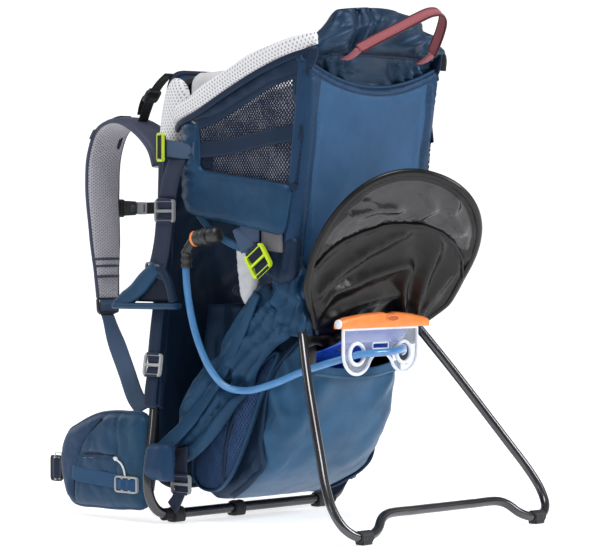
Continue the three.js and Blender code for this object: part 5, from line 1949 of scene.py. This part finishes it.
def storage_lid():
    """Lifted lid: black lining drawn into folds, a glossy band near its rim and piping all round."""
    reach = LID["height"] * np.sin(np.linspace(0, 1, 46) * math.pi / 2)
    right = [(float(lid_half(r)), float(r)) for r in reach[:-1]]
    left = [(-x, r) for x, r in right]
    outline = even(np.array(left + [(0.0, LID["height"])] + right[::-1] + left[:1]), 5.5)[:-1]
    arc = np.array([(x, arc_reach(x)) for x in np.linspace(-116, 116, 60)])

    def relief(u, v, d):
        inner = 1 - ramp(v - arc_reach(u), -22, -4)
        folds = 1.3 * ridges(u, v, LID_FOLDS) - 4.0 + 2.0 * creases(u, v, 26, 70, 181) * bump_at(v, 30, 34)
        band = 1.2 * ridges(u, v, GLOSS_FOLDS) + 3.0 * creases(u, v, 44, 28, 187)
        return (folds * inner + band * (1 - inner) + 1.2 * waves(u, v, 60, 189)) * ramp(d, 0, 16)

    border = outline[outline[:, 1] > arc_reach(outline[:, 0]) + 26]
    border = even(border + 11 * (np.array([0.0, 120.0]) - border) / 130, 5)

    def region(u, v):
        within = inside(np.stack([u, v], axis=1), np.vstack([border, border[:1]]))
        return np.where(within & (v > arc_reach(u)), 2, 1)

    lid = puff("storage_lid_shell", outline, lid_lay, 3.4, [BLUE, LINING, GLOSS_BAND], relief=relief,
               rounding=6,
               edge=2.2, step=4.0, seams=[even(arc, 5), border], pinch=(2.4, 3.0), region=region)
    wear(lid, "lid", "black_lining", "storage_lid")
    rim = lid_lay(outline[:, 0], outline[:, 1], np.zeros(len(outline)))
    piping = sweep("rim", even(rim[outline[:, 1] > 6], 5), circle(5.2, 14), LINING)
    height = relief(arc[:, 0], arc[:, 1], np.full(len(arc), 30.0))
    line = lid_lay(arc[:, 0], arc[:, 1] - 3, height + 2.4)
    second = sweep("arc", even(line, 5), circle(2.3, 10), LINING)
    low = lid_lay(arc[:, 0], arc[:, 1] - 9, height + 3.2)
    rows = stitches("row", low, 4, 2.4, 0.35, INK)
    wear(joined("storage_lid_piping", [piping, second, rows]), "lid", "black_lining")


# ---- hydration ---------------------------------------------------------------------------
FILM_ROUTE = [
    (-130, 120), (-150, 176), (-168, 214), (-192, 234), (-222, 244), (-246, 254), (-258, 268),
    (-259, 280),
]
FILM_MIDDLE = -18.0
FILM_HALF = 62.0


def bladder():
    """Top of the drinking bladder, hanging out of the mouth, with its slider and hanger plate."""
    line = route(FILM_ROUTE, 5)
    gaps = np.linalg.norm(np.diff(line, axis=0), axis=1)
    reach = np.concatenate([[0], np.cumsum(gaps)])
    total = float(reach[-1])

    def lay(u, v, h):
        at = np.clip(v, 0, total)
        y = np.interp(at, reach, line[:, 0])
        z = np.interp(at, reach, line[:, 1])
        ahead = np.clip(at + 4, 0, total)
        dy = np.interp(ahead, reach, line[:, 0]) - np.interp(at - 4, reach, line[:, 0])
        dz = np.interp(ahead, reach, line[:, 1]) - np.interp(at - 4, reach, line[:, 1])
        size = np.maximum(np.hypot(dy, dz), 1e-6)
        return np.stack([u, y + h * dz / size, z - h * dy / size], axis=1)

    def ripple(u, v, d):
        calm = 1 - ramp(v, total - 34, total - 16)
        return (2.6 * creases(u, v, 30, 78, 191) + 1.2 * waves(u, v, 50, 193)) * ramp(d, 0, 14) * calm

    west, east = FILM_MIDDLE - FILM_HALF, FILM_MIDDLE + FILM_HALF
    outline = corners([(west, 0), (east, 0), (east, total - 1), (west, total - 1)], 8, 5)
    film = puff("bladder_film", outline, lay, 1.0, [FILM], rounding=4, edge=0.8, step=5, relief=ripple)
    wear(film, "pack", "blue_film", "water_bladder")
    low, high = SLIDER["low"], SLIDER["high"]
    xs = np.linspace(low, high, 60)
    line = np.stack([xs, np.full(60, SLIDER["y"]), np.full(60, SLIDER["z"])], axis=1)

    def channel(share):
        tall = float(np.interp(share, [0, 0.06, 0.25, 0.55, 0.8, 0.96, 1], [12, 15, 19, 22, 18, 13, 11]))
        dip = 3.4 * float(np.exp(-(((share - 0.55) / 0.055) ** 4)))
        shoulder = tall - 1.4 - dip * 0.4
        return np.array([(-8, 0), (-3.6, 0), (-3.6, 9), (3.6, 9), (3.6, 0), (8, 0), (8.4, tall * 0.35),
                         (8, tall - 5), (6.2, shoulder), (2.5, tall - dip), (-2.5, tall - dip),
                         (-6.2, shoulder), (-8, tall - 5), (-8.4, tall * 0.35)])

    bar = sweep("bladder_slider_bar", line, channel, ORANGE, across=(0, 1, 0))
    for face in bar.data.polygons:
        face.use_smooth = False
    soften(bar, 1.0)
    wear(bar, "slider", "orange_plastic", "bladder_slider")
    oval_x = (low + high) / 2 + 12
    oval = [(oval_x + 12 * math.cos(a), SLIDER["y"] - 8.6, SLIDER["z"] + 12.5 + 4.2 * math.sin(a))
            for a in np.linspace(0, math.tau, 28, endpoint=False)]
    cap_line = np.array([(low - 3 + t, SLIDER["y"] - 1, SLIDER["z"] + 6.5) for t in np.linspace(0, 6, 7)])
    cap = sweep("cap", cap_line, lambda s: circle(5.2 + 1.2 * math.sin(math.pi * s), 20), WHITE_CAP)
    recess = plate("recess", [(p[0], p[2]) for p in oval], [],
                   lambda u, v, h: np.stack([u, SLIDER["y"] - 8.4 - h, v], axis=1), 1.2, DARK_ORANGE, 0.4)
    ring = sweep("ring", np.array(oval), circle(1.0, 8), ORANGE, closed=True)
    wear(joined("bladder_slider_details", [cap, recess, ring]), "slider", "orange_plastic")


def hanger_plate():
    """Clear plate with two ringed holes that the hose hangs from, with thick pale edges."""
    lobes, lobe_z, lobe_r, y = (-67.0, 27.0), 237.0, 27.0, -264.5
    top = SLIDER["z"] - 0.4

    def ring(x, z, radius, start, end, count):
        turn = np.radians(np.linspace(start, end, count))
        return [(x + radius * math.cos(t), z + radius * math.sin(t)) for t in turn]

    outline = [(lobes[0] - lobe_r, top)]
    outline += ring(lobes[0], lobe_z, lobe_r, 180, 322, 30)
    outline += ring(-20, 211, 27, 160, 20, 24)
    outline += ring(lobes[1], lobe_z, lobe_r, 218, 360, 30)
    outline.append((lobes[1] + lobe_r, top))
    outline = even(np.array(outline + outline[:1]), 2.0)[:-1]
    holes = [np.array(ring(x, lobe_z, 14.2, 0, 350, 36)) for x in lobes]
    slot = corners([(-36, 243), (-4, 243), (-4, 251), (-36, 251)], 2.5, 1.6)

    def lay(u, v, h):
        return np.stack([u, y - h, v], axis=1)

    parts = [plate("web", outline, holes + [slot], lay, 2.0, PLATE, 0.5)]
    for edge, radius in [(outline, 2.3)] + [(hole, 2.8) for hole in holes] + [(slot, 1.2)]:
        parts.append(sweep("edge", lay(edge[:, 0], edge[:, 1], np.zeros(len(edge))), circle(radius, 12),
                           PLATE_EDGE,
                           closed=True))
    wear(joined("hanger_plate_body", parts), "pack", "clear_plastic", "hanger_plate")


def pins():
    """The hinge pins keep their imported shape."""
    for name, _ in SIDES:
        node = frame["nodes"]["hinge_pin_" + name]
        node.data.materials.clear()
        node.data.materials.append(STEEL)
        soften(node, 0.5)


# ---- assembly ----------------------------------------------------------------------------
def both(make):
    """Makes the left piece, then the right one."""
    for name, sign in SIDES:
        make(name, sign)


set_camera()
hose()
frame_tubes()
kickstand()
base_feet()
back_panel()
back_pads()
both(shoulder_strap)
sternum_strap()
both(hip_wing)
both(lower_corner)
both(cockpit_side)
chin_and_seat()
both(stirrup)
rear_panel()
top_cap()
carry_handle()
both(strut)
storage_bag()
lining_roll()
both(side_pocket)
storage_lid()
bladder()
hanger_plate()
pins()
studio()
